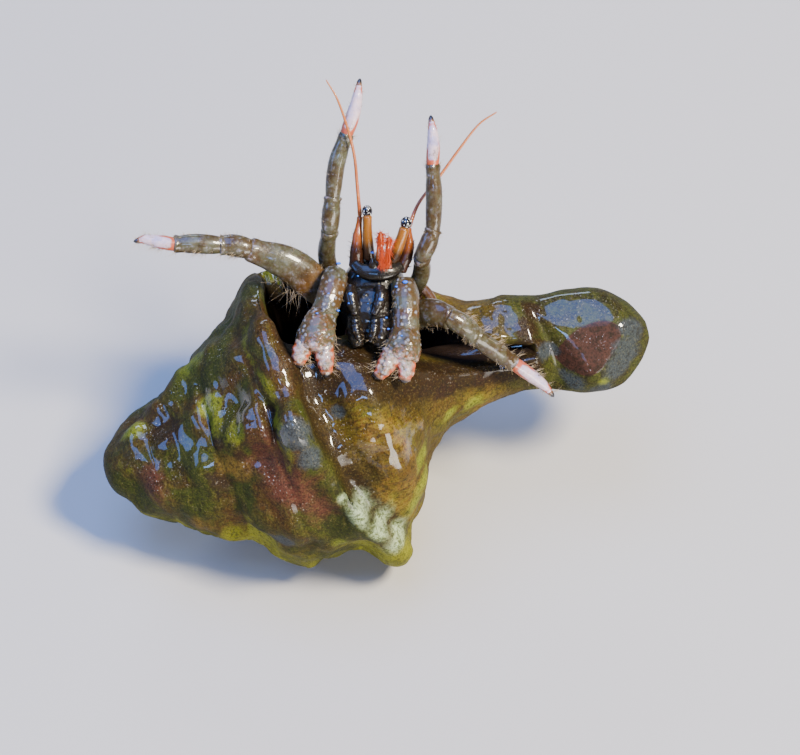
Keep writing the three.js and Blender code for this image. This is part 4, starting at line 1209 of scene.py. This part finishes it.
def whip(knots, size, segments, bead):
    """A thin line of short rings, each swelling a little towards its far end."""
    rows = segments * ROWS_PER_RING
    t = (np.arange(rows) + 0.5) / rows
    place, along, length = middle_line(on_crab(knots), t)
    saw = (t * segments) % 1.0
    width = curve(*size)(t) * (1 - bead + 2 * bead * saw ** 2)
    ends = np.sqrt(np.clip(1 - (1 - np.clip(np.minimum(t, 1 - t) * length / 0.2, 0, 1)) ** 2, 0.02, 1))
    wide = unit(np.cross(along, TO_FRONT + 0.2 * TO_LEFT))
    deep = np.cross(wide, along)
    width = (width * ends)[:, None]
    rings = oval_rings(place, wide, deep, width, width, turn_round(WHIP_SIDES))
    tips, _, _ = middle_line(on_crab(knots), [0, 1])
    points, faces = closed_grid(rings, tips)
    shares = [np.append(np.repeat(value, WHIP_SIDES), value[[0, -1]]) for value in (t, saw)]
    return points, faces, shares


print("points in one ring of a whip:", ROWS_PER_RING * WHIP_SIDES)

# %% [markdown]
# The long feelers sweep up and out. The small ones rise between the eyes, bend like an elbow and
# hang down in front of the face.

# %% Long and small feelers
LONG_FEELERS = {
    "right": [[-1.07, 5.15, -0.3], [-1.25, 7.2, 0.4], [-1.4, 8.8, 1.5], [-1.75, 10.3, 2.2],
              [-2.45, 12.3, 2.6], [-3.15, 13.5, 2.7]],
    "left": [[1.95, 4.5, -0.77], [2.55, 6.0, -0.9], [3.9, 7.75, -0.9], [5.1, 9.4, -0.6],
             [6.3, 10.9, -0.3], [7.4, 11.65, -0.1]]}
SMALL_FEELERS = {
    "right": [[0.0, 2.4, -0.5], [0.1, 3.8, 0.3], [0.2, 4.15, 0.7], [0.25, 3.4, 1.05], [0.3, 2.3, 1.1]],
    "left": [[0.5, 2.4, -0.5], [0.66, 3.6, 0.3], [0.74, 3.85, 0.7], [0.68, 3.2, 1.05],
             [0.58, 2.35, 1.1]]}
LONG_SIZE = [[0, 0.15], [0.15, 0.115], [0.7, 0.085], [1, 0.045]]
SMALL_SIZE = [[0, 0.13], [0.4, 0.08], [0.5, 0.09], [1, 0.04]]
# Kind: lines, half widths, rings, depth of the rings, how far up the scale of colour it reaches.
FEELERS = {"feeler": (LONG_FEELERS, LONG_SIZE, 60, 0.06, 1.0),
           "small_feeler": (SMALL_FEELERS, SMALL_SIZE, 16, 0.08, 0.5)}
for kind, (lines, size, segments, bead, reach) in FEELERS.items():
    for side, knots in lines.items():
        points, faces, (t, saw) = whip(knots, size, segments, bead)
        make_piece(f"{kind}_{side}", points, faces, [f"{kind}_{side}"],
                   {"share": t * reach, "saw": saw})
print("feelers made:", 2 * len(FEELERS))

# %% [markdown]
# ## Dark tips
# Every foot ends in a black horny claw, and every finger in a dark spoon-shaped nail. A dark mark on
# the skin would have a soft border. A cap of its own has a hard edge, so each tip is made from the
# last rows of the skin below it and sits a little proud.

# %% Claws of the feet and nails of the fingers
TIP_SWELL = 1.06
# How long a tip is and how far it is drawn out.
FOOT_TIP, FINGER_TIP = (0.36, 0.12), (0.28, 0.03)


def horn_tip(shape, length, drawn_out):
    """The last rows of a piece of skin, swollen a little about the middle line and drawn out to
    a point, with the two poles."""
    reach = np.linalg.norm(shape["centre"] - shape["centre"][-1], axis=1)
    start = int(np.argmax(reach < length))
    centre = shape["centre"][start:, None]
    cap = centre + (shape["points"][start:] - centre) * TIP_SWELL
    along = unit(shape["centre"][-1] - shape["centre"][-4])
    push = np.linspace(0, 1, len(cap)) ** 1.5 * drawn_out
    cap = cap + push[:, None, None] * along
    return cap, np.stack([cap[0].mean(axis=0), cap[-1].mean(axis=0) + 0.03 * along])


tip_points, tip_faces, tip_share = [], [], []
for name, shape in surfaces.items():
    if name.endswith(("foot", "fixed", "_finger")):
        cap, poles = horn_tip(shape, *(FOOT_TIP if name.endswith("foot") else FINGER_TIP))
        points, faces = closed_grid(cap, poles, sum(map(len, tip_points)))
        tip_points.append(points)
        tip_faces += faces
        share = np.linspace(0, 1, len(cap))
        tip_share.append(np.concatenate([np.repeat(share, cap.shape[1]), [0, 1]]))
make_piece("dark_tips", np.concatenate(tip_points), tip_faces, [],
           {"share": np.concatenate(tip_share)})
print("dark tips:", len(tip_points))

# %% [markdown]
# ## Bristles
# Stiff bristles stand in small tufts on the legs and claws. Hair curves could grow them, but only
# a mesh goes with the part, so every bristle is a few faces. A tuft starts just under the skin, and
# its bristles lean along the limb, fan out and bend. Each tuft also has a place in a map of squares:
# one square of eight by eight for every limb piece.

# %% The tuft function
tufts = {key: [] for key in ("root", "way", "bend", "length", "thick", "shade", "spot")}
MAP_SIDE = 8
MAP_MARGIN = 0.08
ROOT_DEPTH = 0.04


def tuft_row(name, count, reach, angle, spread, length, lean, shade, seed, each=3, thick=0.011,
             droop=0.0, fan=0.28):
    """Tufts at random places of a limb piece, within a reach of t and a spread of angle. They point
    out from the surface, lean along the limb, fan out in the tuft, and droop."""
    draw = np.random.default_rng(seed)
    shape = surfaces[name]
    rings, sides = shape["points"].shape[:2]
    t, a = draw.uniform(*reach, count), np.radians(draw.uniform(angle - spread, angle + spread, count))
    around = (a / (2 * np.pi)) % 1
    row = np.clip(((np.arccos(1 - 2 * t) / np.pi) * rings).astype(int), 0, rings - 2)
    column = (around * sides).astype(int) % sides
    place = shape["points"][row, column]
    outward = unit(place - shape["centre"][row])
    along = unit(shape["centre"][row + 1] - shape["centre"][row])
    way = np.repeat(unit(outward + lean * along), each, axis=0)
    way = unit(way + draw.normal(size=way.shape) * fan)
    square = np.array([shape["index"] % MAP_SIDE, shape["index"] // MAP_SIDE])
    spot = square + MAP_MARGIN + (1 - 2 * MAP_MARGIN) * np.stack([around, t], axis=1)
    tufts["root"].append(np.repeat(place - ROOT_DEPTH * outward, each, axis=0))
    tufts["way"].append(way)
    tufts["bend"].append(draw.normal(size=way.shape) * 0.18 + np.array([0, 0, -droop]))
    tufts["length"].append(length * draw.uniform(0.45, 1.0, len(way)))
    tufts["thick"].append(thick * draw.uniform(0.7, 1.1, len(way)))
    tufts["shade"].append(np.clip(shade + draw.normal(size=len(way)) * 0.12, 0, 1))
    tufts["spot"].append(np.repeat(spot / MAP_SIDE, each, axis=0))


print("squares in the map:", MAP_SIDE ** 2, "limb pieces:", len(surfaces))

# %% [markdown]
# Pale bristles fringe the lower edges of the legs and claws, short ones stand all round them, and
# a wet tangle hangs at the root of the outstretched leg. A row of tufts says: piece, tufts, places
# along it, angle and spread, length, lean, shade and seed.

# %% Tufts on the legs and claws
for side, outer in (("right", 180), ("left", 0)):
    for part, rows in (("palm", (0.25, 0.95)), ("fixed", (0.3, 0.95)), ("finger", (0.3, 0.95))):
        tuft_row(f"claw_{side}_{part}", 7, rows, outer, 35, 0.75, 0.9, 0.3, 500)
        tuft_row(f"claw_{side}_{part}", 14, rows, 90, 180, 0.22, 0.8, 0.45, 501, each=2)
    tuft_row(f"claw_{side}_wrist", 14, (0.2, 0.95), outer, 60, 0.4, 0.8, 0.45, 502)
    for part in ("knee", "shin", "foot"):
        tuft_row(f"leg2_{side}_{part}", 12, (0.1, 0.9), outer, 60, 0.38, 1.2, 0.4, 503, each=2)
        tuft_row(f"leg2_{side}_{part}", 8, (0.1, 0.9), 180 - outer, 50, 0.3, 1.2, 0.4, 504, each=2)
        tuft_row(f"leg3_{side}_{part}", 16, (0.05, 0.95), 0, 60, 0.5, 1.2, 0.3, 505, each=2)
        tuft_row(f"leg3_{side}_{part}", 18, (0.05, 0.95), 180, 50, 0.75, 0.9, 0.15, 506)
    tuft_row(f"leg2_{side}_shin", 5, (0.9, 0.97), 0, 180, 0.75, 1.0, 0.1, 511)
    tuft_row(f"leg3_{side}_thigh", 22, (0.1, 0.95), 0, 60, 0.5, 0.7, 0.4, 507)
    tuft_row(f"feeler_root_{side}", 16, (0.15, 0.75), outer, 80, 0.4, 0.5, 0.8, 508)
    tuft_row(f"lower_palp_{-1 if side == 'right' else 1}", 10, (0.3, 0.95), 90, 180, 0.35, 0.8, 0.5,
             509)
tuft_row("leg3_right_thigh", 26, (0.3, 0.6), 180, 40, 2.0, -0.3, 0.0, 510, each=2, droop=0.05,
         thick=0.007, fan=1.6)
print("bristles:", sum(len(values) for values in tufts["root"]))

# %% [markdown]
# Every bristle is a thin bent cone: three square rings and a tip, thirteen points in all. All the
# bristles of one kind are joined in one piece.

# %% Joined bristles
RING_SHARES = np.array([0.0, 0.4, 0.75])
RING_WIDTHS = np.array([1.0, 0.75, 0.4])
POINTS_EACH = 13
MAP_STEP = 0.003


def make_bristles(name, slot, root, way, bend, length, thick, shade, spot):
    """Three square rings and a tip for each bristle, on a line that bends with the square of the
    distance from the root."""
    count = len(root)
    wide = unit(np.cross(way, unit(np.array([0.3, 0.5, 0.8]))))
    deep = np.cross(way, wide)
    corner = np.array([[1, 0], [0, 1], [-1, 0], [0, -1]])
    line = root[:, None] + length[:, None, None] * (
        RING_SHARES[:, None] * way[:, None] + (RING_SHARES ** 2)[:, None] * bend[:, None])
    width = thick[:, None] * RING_WIDTHS
    square = corner[:, :1] * wide[:, None] + corner[:, 1:] * deep[:, None]
    rings = line[:, :, None] + width[..., None, None] * square[:, None]
    tip = root + length[:, None] * (way + bend)
    points = np.concatenate([rings.reshape(count, 12, 3), tip[:, None]], axis=1)
    first = POINTS_EACH * np.arange(count)[:, None, None]
    i = np.arange(4)
    j = (i + 1) % 4
    sides = [np.stack([i + k, j + k, j + k + 4, i + k + 4], axis=1) for k in (0, 4)]
    quads = (np.concatenate(sides + [np.array([[3, 2, 1, 0]])])[None] + first).reshape(-1, 4)
    fans = (np.stack([i + 8, j + 8, np.full(4, 12)], axis=1)[None] + first).reshape(-1, 3)
    local = np.stack([np.tile(i, 4)[:POINTS_EACH] / 4, np.repeat(i, 4)[:POINTS_EACH] / 4], axis=1)
    uv = (spot[:, None] + MAP_STEP * local[None]).reshape(-1, 2)
    attributes = {"shade": np.repeat(shade, POINTS_EACH),
                  "share": np.tile(np.append(np.repeat(RING_SHARES, 4), 1.0), count)}
    make_piece(name, points.reshape(-1, 3), [quads, fans], (), attributes, uv)


make_bristles("bristles", "limb_skin", **{key: np.concatenate(v) for key, v in tufts.items()})
print("triangles in a bristle:", 4 * 4 + 2 + 4)

# %% [markdown]
# The small feelers end in a dense brush, with which the crab tastes the water. Its fine orange
# bristles hang down from the part beyond the elbow, and are made in the same way.

# %% Brushes of the small feelers
BRUSH_BRISTLES = 760


def brush_roots(knots, count, seed):
    """Many fine bristles along the bent part of a small feeler, hanging down from it."""
    draw = np.random.default_rng(seed)
    t = draw.uniform(0.36, 1.0, count)
    place, along, _ = middle_line(on_crab(knots), t)
    way = unit(0.6 * along - 0.7 * TO_BACK + 0.34 * draw.normal(size=along.shape))
    return {"root": place, "way": way, "bend": 0.1 * draw.normal(size=way.shape),
            "length": draw.uniform(0.35, 0.8, count), "thick": draw.uniform(0.012, 0.018, count),
            "shade": draw.uniform(0.0, 0.3, count),
            "spot": np.stack([0.1 + 0.3 * t, draw.uniform(0.1, 0.9, count)], axis=1)}


for side, knots in SMALL_FEELERS.items():
    make_bristles(f"feeler_brush_{side}", "orange_skin",
                  **brush_roots(knots, BRUSH_BRISTLES, 600 + len(side)))
print("bristles in the two brushes:", 2 * BRUSH_BRISTLES)

# %% [markdown]
# ## Sums written as sums
# Nodes could be set out and linked one by one, but they are easier to read as arithmetic. A `Value`
# wraps one output of a node, and adding or multiplying two of them makes the maths node that does
# it.

# %% A value in a shader
class Value:
    """A number or a colour on its way through the nodes."""

    def __init__(self, book, socket):
        self.book, self.socket = book, socket

    def _math(self, operation, *inputs):
        """A maths node with these numbers or values, in their order."""
        return self.book.node("ShaderNodeMath", {"operation": operation},
                              {i: v for i, v in enumerate(inputs)})["Value"]

    def __add__(self, other):
        return self._math("ADD", self, other)

    def __sub__(self, other):
        return self._math("SUBTRACT", self, other)

    def __rsub__(self, other):
        return self._math("SUBTRACT", other, self)

    def __mul__(self, other):
        return self._math("MULTIPLY", self, other)

    __radd__, __rmul__ = __add__, __mul__

    def ramp(self, low, high):
        """0 below low, 1 above high, eased between; falls when low is above high."""
        return self.book.node("ShaderNodeMapRange",
                              {"interpolation_type": "SMOOTHSTEP", "clamp": True},
                              {"Value": self, "From Min": low, "From Max": high})["Result"]


print("a value adds nodes as it is used in sums")

# %% [markdown]
# A book holds one material. Its `node` makes any node from a type, its settings and the values or
# links of its sockets, and `layers` lays colours one over another.

# %% A book of nodes
class Book:
    """One material and the nodes written into it."""

    def __init__(self, name):
        self.material = bpy.data.materials.new(name)
        self.material.use_nodes = True
        self.tree = self.material.node_tree
        self.shader = self.tree.nodes["Principled BSDF"]

    def node(self, kind, settings=None, sockets=None):
        """A new node; returns its outputs by name."""
        made = self.tree.nodes.new(kind)
        for key, value in (settings or {}).items():
            setattr(made, key, value)
        for key, value in (sockets or {}).items():
            self.put(made.inputs[key], value)
        return {out.name: Value(self, out) for out in made.outputs if out.enabled}

    def put(self, socket, value):
        """A value is linked to the socket; a number, a colour or a vector is written into it."""
        if isinstance(value, Value):
            self.tree.links.new(value.socket, socket)
        elif isinstance(value, tuple) and socket.type == "RGBA":
            socket.default_value = (*value, 1.0)
        else:
            socket.default_value = value

    def set(self, **values):
        """Constants and values on the shader itself, with _ for the space in a name."""
        for key, value in values.items():
            self.put(self.shader.inputs[key.replace("_", " ")], value)

    def mix(self, share, first, second):
        """The first colour where the share is 0, the second where it is 1."""
        made = self.tree.nodes.new("ShaderNodeMix")
        made.data_type = "RGBA"
        made.clamp_factor = True
        for socket, value in zip((made.inputs[0], made.inputs[6], made.inputs[7]),
                                 (share, first, second)):
            self.put(socket, value)
        return Value(self, made.outputs[2])

    def layers(self, base, *steps):
        """Colours laid one over another: a step is how much of a colour, and the colour."""
        for share, colour in steps:
            base = self.mix(share, base, colour)
        return base

    def finish(self, *names):
        """The material goes onto the pieces of these names."""
        for name in names:
            pieces[name].data.materials.append(self.material)


print("a book starts with the Principled BSDF of its material")

# %% [markdown]
# A finish is a book that also knows the few patterns that this model needs: the measures on the
# points, clouds, cells, the way that a surface looks, and fine relief.

# %% A finish and its patterns
class Finish(Book):
    """A book with words for the patterns."""

    def measures(self, *names):
        """Numbers kept on the points, one value for each name."""
        found = [self.node("ShaderNodeAttribute", {"attribute_name": name})["Fac"] for name in names]
        return found if len(names) > 1 else found[0]

    def place(self, name=None):
        """Where on the piece: its own coordinates, or a place kept as an attribute."""
        if name:
            return self.node("ShaderNodeAttribute", {"attribute_name": name})["Vector"]
        return self.node("ShaderNodeTexCoord")["Object"]

    def stretch(self, place, scale):
        """A place whose three ways are stretched, so that noise on it runs in lines."""
        return self.node("ShaderNodeMapping", {}, {"Vector": place, "Scale": scale})["Vector"]

    def noise(self, place, scale, detail=4.0, rough=0.6, twist=0.0):
        """Soft clouds about 0.5; more scale makes them finer, more detail adds smaller ones."""
        return self.node("ShaderNodeTexNoise", {}, {
            "Vector": place, "Scale": scale, "Detail": detail, "Roughness": rough,
            "Distortion": twist})["Fac"]

    def cells(self, place, scale):
        """The distance from the nearest of many scattered spots."""
        return self.node("ShaderNodeTexVoronoi", {}, {"Vector": place, "Scale": scale})["Distance"]

    def looking(self, way):
        """How far the surface looks one way: 1 straight, 0 square to it, below 0 when turned away."""
        normal = self.node("ShaderNodeNewGeometry")["Normal"]
        made = self.tree.nodes.new("ShaderNodeVectorMath")
        made.operation = "DOT_PRODUCT"
        self.put(made.inputs[0], normal)
        made.inputs[1].default_value = way
        return Value(self, made.outputs["Value"])

    def bump(self, height, depth, strength=1.0):
        """Relief too fine for the mesh, as deep as a depth in mm."""
        self.set(Normal=self.node("ShaderNodeBump", {}, {
            "Height": height, "Distance": depth * MM, "Strength": strength})["Normal"])


# Water lies as a film where a surface looks up and forward; underneath it runs off.
WET_WAY = (-0.05, -0.35, 0.93)
FILM_INDEX = 1.42
print("water lies where a surface looks", WET_WAY)

# %% [markdown]
# ## Wet shell
# Under the water the shell is dark red-brown near the mouth and olive-brown along the body whorl,
# with fine darker lines of growth. Where the relief is low it is darker and greener, and algae make
# the knobs and the lower rim yellow-green. A dark line of painted shade follows the step below the
# last shoulder. Over that lie the patches: maroon, grey-blue, dark brown stains and painted shade in
# the creases beside the knobs, and white where it was rubbed bare, whose white also stands in for
# painted glints of the sun. One noise could mottle all of it, but real stains have their own places.
# So every colour is laid over the ones before by a mix, whose share comes from the measures and from
# clouds of three sizes.

# %% Colours of the shell
def grown_colour(book, clouds, growth, threads):
    """The colours that follow the whorls: spire, face of the last whorl, canal, algae."""
    large, middle, fine = clouds
    along, past, relief = book.measures("along", "past_shoulder", "relief")
    flank, rim, mouth = book.measures("flank", "rim", "mouth")
    spire = book.mix(large.ramp(0.38, 0.62), (0.030, 0.035, 0.004), (0.048, 0.022, 0.005))
    face = book.mix(threads.ramp(0.30, 0.70), (0.150, 0.108, 0.010), (0.085, 0.036, 0.005))
    green = book.mix(middle.ramp(0.4, 0.6), (0.040, 0.045, 0.008), (0.022, 0.018, 0.005))
    face = book.layers(face,
                       (growth.ramp(0.5, 0.6) * 0.5, (0.135, 0.046, 0.010)),
                       (large.ramp(0.47, 0.36) * 0.65, (0.040, 0.021, 0.004)),
                       (large.ramp(0.48, 0.66) * 0.7, (0.150, 0.135, 0.008)),
                       (along.ramp(24.0, 28.0), green))
    # Darker and greener where the relief is low.
    hollows = (relief * 1.2 + (middle - 0.5) * 2.2).ramp(0.1, -0.6)
    algae = (flank * (large - 0.35) * 7.0 + rim * 0.9 + (large - 0.5) * 2.6
             + (fine - 0.5) * 1.2 - past.ramp(0.0, 1.5) * 0.55).ramp(0.4, 1.1)
    by_mouth = (mouth + (large - 0.5) * 1.2).ramp(0.15, 0.75)
    # A dark line along the step below the last shoulder: painted shade.
    seam_shade = past.ramp(-0.2, 0.5) * (1 - past.ramp(0.7, 2.0)) * (1 - along.ramp(17.0, 19.0))
    seam_shade = (seam_shade + (middle - 0.5) * 0.8).ramp(0.3, 1.0)
    return book.layers(spire,
                       (past.ramp(0.0, 0.8), face),
                       (growth.ramp(0.52, 0.72) * 0.45, (0.13, 0.11, 0.018)),
                       (hollows * 0.55, (0.009, 0.011, 0.003)),
                       (algae * 0.8, (0.175, 0.180, 0.008)),
                       (by_mouth * 0.93, (0.016, 0.007, 0.003)),
                       (seam_shade * 0.8, (0.018, 0.009, 0.003)))


def patched_colour(book, base, clouds, oval):
    """The patches, each with an edge frayed by the clouds, and the brown oval among them."""
    large, middle, fine = clouds
    uneven = (large - 0.5) * 0.9 + (middle - 0.5) * 1.1 + (fine - 0.5) * 0.8

    def patch(name, most, start=0.35, end=0.8):
        """How much of a patch shows: its measure and the clouds, stepped from start to end."""
        return (book.measures(name) + uneven).ramp(start, end) * most

    brown = book.mix(fine.ramp(0.3, 0.7), (0.050, 0.020, 0.012), (0.022, 0.011, 0.008))
    # The pale of the rubbed-bare spots; its brightest part also stands in for painted glints.
    pale = book.mix(fine.ramp(0.4, 0.62), (0.44, 0.54, 0.31), (0.17, 0.22, 0.08))
    return book.layers(base,
                       # Chestnut stains, and painted shade in the creases beside the big knobs.
                       (patch("chestnut_and_shade", 0.92), (0.020, 0.009, 0.004)),
                       (patch("ochre", 0.8), (0.110, 0.064, 0.010)),
                       (patch("maroon", 0.85, 0.3, 1.0), (0.078, 0.024, 0.015)),
                       (patch("lime", 0.75, 0.35, 1.0), (0.165, 0.190, 0.012)),
                       ((oval + (middle - 0.5) * 0.5).ramp(0.4, 0.6), brown),
                       (patch("bluish", 0.9), (0.034, 0.042, 0.046)),
                       (patch("tan", 0.9), (0.26, 0.13, 0.05)),
                       (patch("whitish_and_glint", 0.85, 0.3, 1.1), pale))


print("patches of colour:", ", ".join(PATCHES))

# %% [markdown]
# Water makes the shell shine. A second skin of glass could stand for it, but the shader's own clear
# coat gives the same shine and needs no faces. It lies where the shell looks up and in the patches
# of shine. Between, pale specks on the upward faces are painted glints. Over the brown oval the film
# is thin, so that its colour shows. Last come the fine relief and the piece itself.

# %% Water on the shell, and its finish
def paint_shell():
    """Clouds and lines of growth, then the colours, the coat of water and the relief."""
    book = Finish("wet_shell")
    place, lathe = book.place(), book.place("lathe")
    inside, oval, shine = book.measures("inside", "oval", "shine")
    large = book.noise(place, 230, 4, 0.6, 0.8)
    middle = book.noise(place, 620, 6, 0.68, 0.3)
    fine = book.noise(place, 2400, 6, 0.75)
    grit = book.noise(place, 7500, 3, 0.7)
    clouds = (large, middle, fine)
    growth = book.noise(book.stretch(lathe, (1.3, 1.3, 17.0)), 3.0, 5, 0.72, 0.6)
    threads = book.noise(book.stretch(lathe, (14.0, 14.0, 2.6)), 3.0, 5, 0.72, 0.5)

    upward = book.looking(WET_WAY)
    # Pale specks where the shell looks up: painted glints of the water.
    painted_glints = grit.ramp(0.63, 0.68) * upward.ramp(0.5, 0.8) * (1 - inside) * middle.ramp(0.45, 0.6)
    base = patched_colour(book, grown_colour(book, clouds, growth, threads), clouds, oval)
    base = book.layers(base,
                       (fine.ramp(0.50, 0.62) * 0.6, (0.012, 0.009, 0.003)),
                       (grit.ramp(0.58, 0.66) * (1 - oval) * 0.35, (0.14, 0.11, 0.03)),
                       # The hollow of the mouth painted dark: painted shade.
                       (inside.ramp(0.3, 0.9), (0.018, 0.011, 0.008)),
                       (grit.ramp(0.50, 0.38) * 0.6, (0.006, 0.005, 0.003)),
                       (painted_glints * 0.5, (0.50, 0.52, 0.58)))

    wet = upward.ramp(0.62, 0.9) * (1 - (middle + (fine - 0.5) * 0.6).ramp(0.62, 0.7))
    shine = (shine + (middle - 0.5) * 1.6 + (fine - 0.5) * 1.2).ramp(0.35, 0.55)
    wet = (wet + shine * (1 - wet)) * (1 - oval * 0.85)
    book.set(Base_Color=base, Roughness=0.62 - wet * 0.36, Specular_IOR_Level=0.08,
             Coat_Weight=wet * 0.95 + 0.02, Coat_Roughness=0.04, Coat_IOR=FILM_INDEX)
    height = grit * 0.15 + fine * 0.25 + middle * 0.6 + growth * 0.2 + threads * 0.2
    book.bump(height, 0.16, 0.8)
    book.finish("shell")


paint_shell()
print("nodes in the shell's finish:", len(bpy.data.materials["wet_shell"].node_tree.nodes))

# %% [markdown]
# ## Living skin
# Each limb could have a material of its own, but the colours run on across the joints. So one
# finish follows the marks on the skin: mottled olive-brown horn, paler on grains, orange-red and
# amber where marked, dark on the face and soft pink-brown behind the shield. Feet are lilac, the
# grainy fingers white. The film of water is weaker on the dark face.

# %% Skin
def paint_skin():
    """Horn with mottles, then a layer for every mark, the coat of water and the grains."""
    book = Finish("living_skin")
    place = book.place()
    pale, warm, amber, dark, soft, blue, grain = book.measures(*MARKS)
    large = book.noise(place, 420, 4, 0.6, 0.5)
    middle = book.noise(place, 1500, 5, 0.65)
    fine = book.noise(place, 5200, 5, 0.7)
    dots = book.cells(place, 3000) + (fine - 0.5) * 0.5 + (middle - 0.5) * 0.5

    horn = book.mix(large.ramp(0.35, 0.62), (0.042, 0.025, 0.008), (0.050, 0.045, 0.020))
    lilac = book.mix(middle.ramp(0.4, 0.7), (0.54, 0.41, 0.45), (0.30, 0.27, 0.42))
    white = book.mix(middle.ramp(0.42, 0.72), (0.62, 0.53, 0.43), (0.32, 0.28, 0.38))
    light = book.mix(grain.ramp(0.3, 0.7), lilac, white)
    base = book.layers(
        horn,
        (middle.ramp(0.46, 0.70) * 0.6, (0.092, 0.100, 0.066)),
        (middle.ramp(0.50, 0.38) * 0.6, (0.022, 0.012, 0.004)),
        # Pale blue specks all over the horn: painted glints of the wet film.
        (fine.ramp(0.58, 0.73) * 0.55, (0.16, 0.20, 0.27)),
        (grain * large.ramp(0.58, 0.42) * 0.7, (0.070, 0.034, 0.010)),
        (dots.ramp(0.42, 0.12) * grain * 0.75, (0.24, 0.25, 0.28)),
        ((pale + (middle - 0.5) * 1.5 + (fine - 0.5) * 0.7).ramp(0.3, 0.8), light),
        (fine.ramp(0.47, 0.56) * pale * grain * 1.3, (0.20, 0.065, 0.020)),
        ((warm + (middle - 0.5) * 0.7).ramp(0.38, 0.66) * 0.9, (0.36, 0.055, 0.006)),
        ((amber + (middle - 0.5) * 0.4).ramp(0.1, 0.9), (0.25, 0.088, 0.008)),
        ((dark + (middle - 0.5) * 0.3).ramp(0.3, 0.9) * 0.93, (0.005, 0.0035, 0.0030)),
        (soft, (0.16, 0.05, 0.03)),
        ((blue + (fine - 0.5) * 0.3).ramp(0.2, 0.9), (0.008, 0.12, 0.62)))
    wet = book.looking(WET_WAY).ramp(0.2, 0.8) * (1 - fine.ramp(0.6, 0.75) * 0.6) * (1 - dark * 0.4)
    book.set(Base_Color=base, Roughness=fine * 0.3 + 0.15, Specular_IOR_Level=0.2,
             Coat_Weight=wet * 0.7 + 0.02, Coat_Roughness=0.05, Coat_IOR=FILM_INDEX,
             Subsurface_Weight=0.08, Subsurface_Scale=0.6 * MM,
             Subsurface_Radius=(1.0, 0.45, 0.25))
    book.bump(fine * 0.4 + middle * 0.5 + dots.ramp(0.5, 0.0) * grain * 1.4, 0.06, 0.9)
    book.finish("crab_skin")


paint_skin()
print("nodes in the skin's finish:", len(bpy.data.materials["living_skin"].node_tree.nodes))

# %% [markdown]
# ## Eyes, feelers and tips
# The eyes' spots are drawn by cells, white near the middle of each and black further out, which
# needs no mesh of facets. Each ring of a feeler is darker at its far end, and the tips of horn
# darken from brown to black.

# %% Eyes, feelers and tips
def paint_eyes():
    """White in the middles of cells and black between, orange-brown at the foot of the cap."""
    book = Finish("net_eye")
    place = book.place()
    spot = book.cells(place, 6800.0)
    base = book.mix(spot.ramp(0.37, 0.27), (0.004, 0.004, 0.006), (0.50, 0.50, 0.46))
    base = book.mix(book.measures("height").ramp(-0.55, -0.85), base, (0.42, 0.20, 0.06))
    book.set(Base_Color=base, Roughness=0.12, Coat_Weight=0.4, Coat_Roughness=0.03)
    book.bump(spot, 0.01, 0.3)
    book.finish("eye_right", "eye_left")


def paint_feelers():
    """Orange, lighter to the end, with a dark border on every ring."""
    book = Finish("orange_feelers")
    share, saw = book.measures("share", "saw")
    fine = book.noise(book.place(), 3800, 4)
    base = book.layers((0.32, 0.060, 0.004),
                       (share, (0.36, 0.105, 0.012)),
                       (saw.ramp(0.75, 1.0) * 0.5, (0.20, 0.02, 0.002)),
                       (fine.ramp(0.5, 0.8) * 0.4, (0.55, 0.25, 0.05)))
    book.set(Base_Color=base, Roughness=fine * 0.2 + 0.3, Coat_Weight=0.4, Coat_Roughness=0.1)
    book.bump(fine, 0.02, 0.5)
    book.finish(*[f"{kind}_{side}" for kind in FEELERS for side in ("right", "left")])


def paint_tips():
    """Brown horn at the root of a tip and black at its point."""
    book = Finish("dark_horn")
    share = book.measures("share")
    fine = book.noise(book.place(), 3000, 4)
    base = book.mix((share + (fine - 0.5) * 0.4).ramp(0.0, 0.45), (0.16, 0.07, 0.03),
                    (0.010, 0.009, 0.010))
    book.set(Base_Color=base, Roughness=fine * 0.2 + 0.15, Coat_Weight=0.6, Coat_Roughness=0.08)
    book.bump(fine, 0.02, 0.4)
    book.finish("dark_tips")


paint_eyes()
paint_feelers()
paint_tips()
print("finishes so far:", [made.name for made in bpy.data.materials])

# %% [markdown]
# ## Bristles' colours
# Bristles differ in shade from one to the next, and every one is lighter towards its tip. Both are
# numbers kept on the points, so one material serves for all the bristles of a kind.

# %% Bristles
def paint_bristles(name, pieces_named, light, dark, tip):
    """A colour between light and dark by the bristle's shade, blended into the tip's colour."""
    book = Finish(name)
    shade, share = book.measures("shade", "share")
    fine = book.noise(book.place(), 4000, 3)
    base = book.layers(light, ((shade + (fine - 0.5) * 0.3).ramp(0.1, 0.9), dark),
                       (share.ramp(0.3, 1.0) * 0.4, tip))
    book.set(Base_Color=base, Roughness=fine * 0.2 + 0.3, IOR=1.35)
    book.finish(*pieces_named)


paint_bristles("horn_bristles", ["bristles"], (0.34, 0.26, 0.16), (0.020, 0.010, 0.005),
               (0.50, 0.38, 0.24))
paint_bristles("orange_brush", ["feeler_brush_right", "feeler_brush_left"], (0.46, 0.045, 0.002),
               (0.30, 0.02, 0.002), (0.55, 0.08, 0.006))
print("pieces without a finish:", [name for name, made in pieces.items() if not made.data.materials])
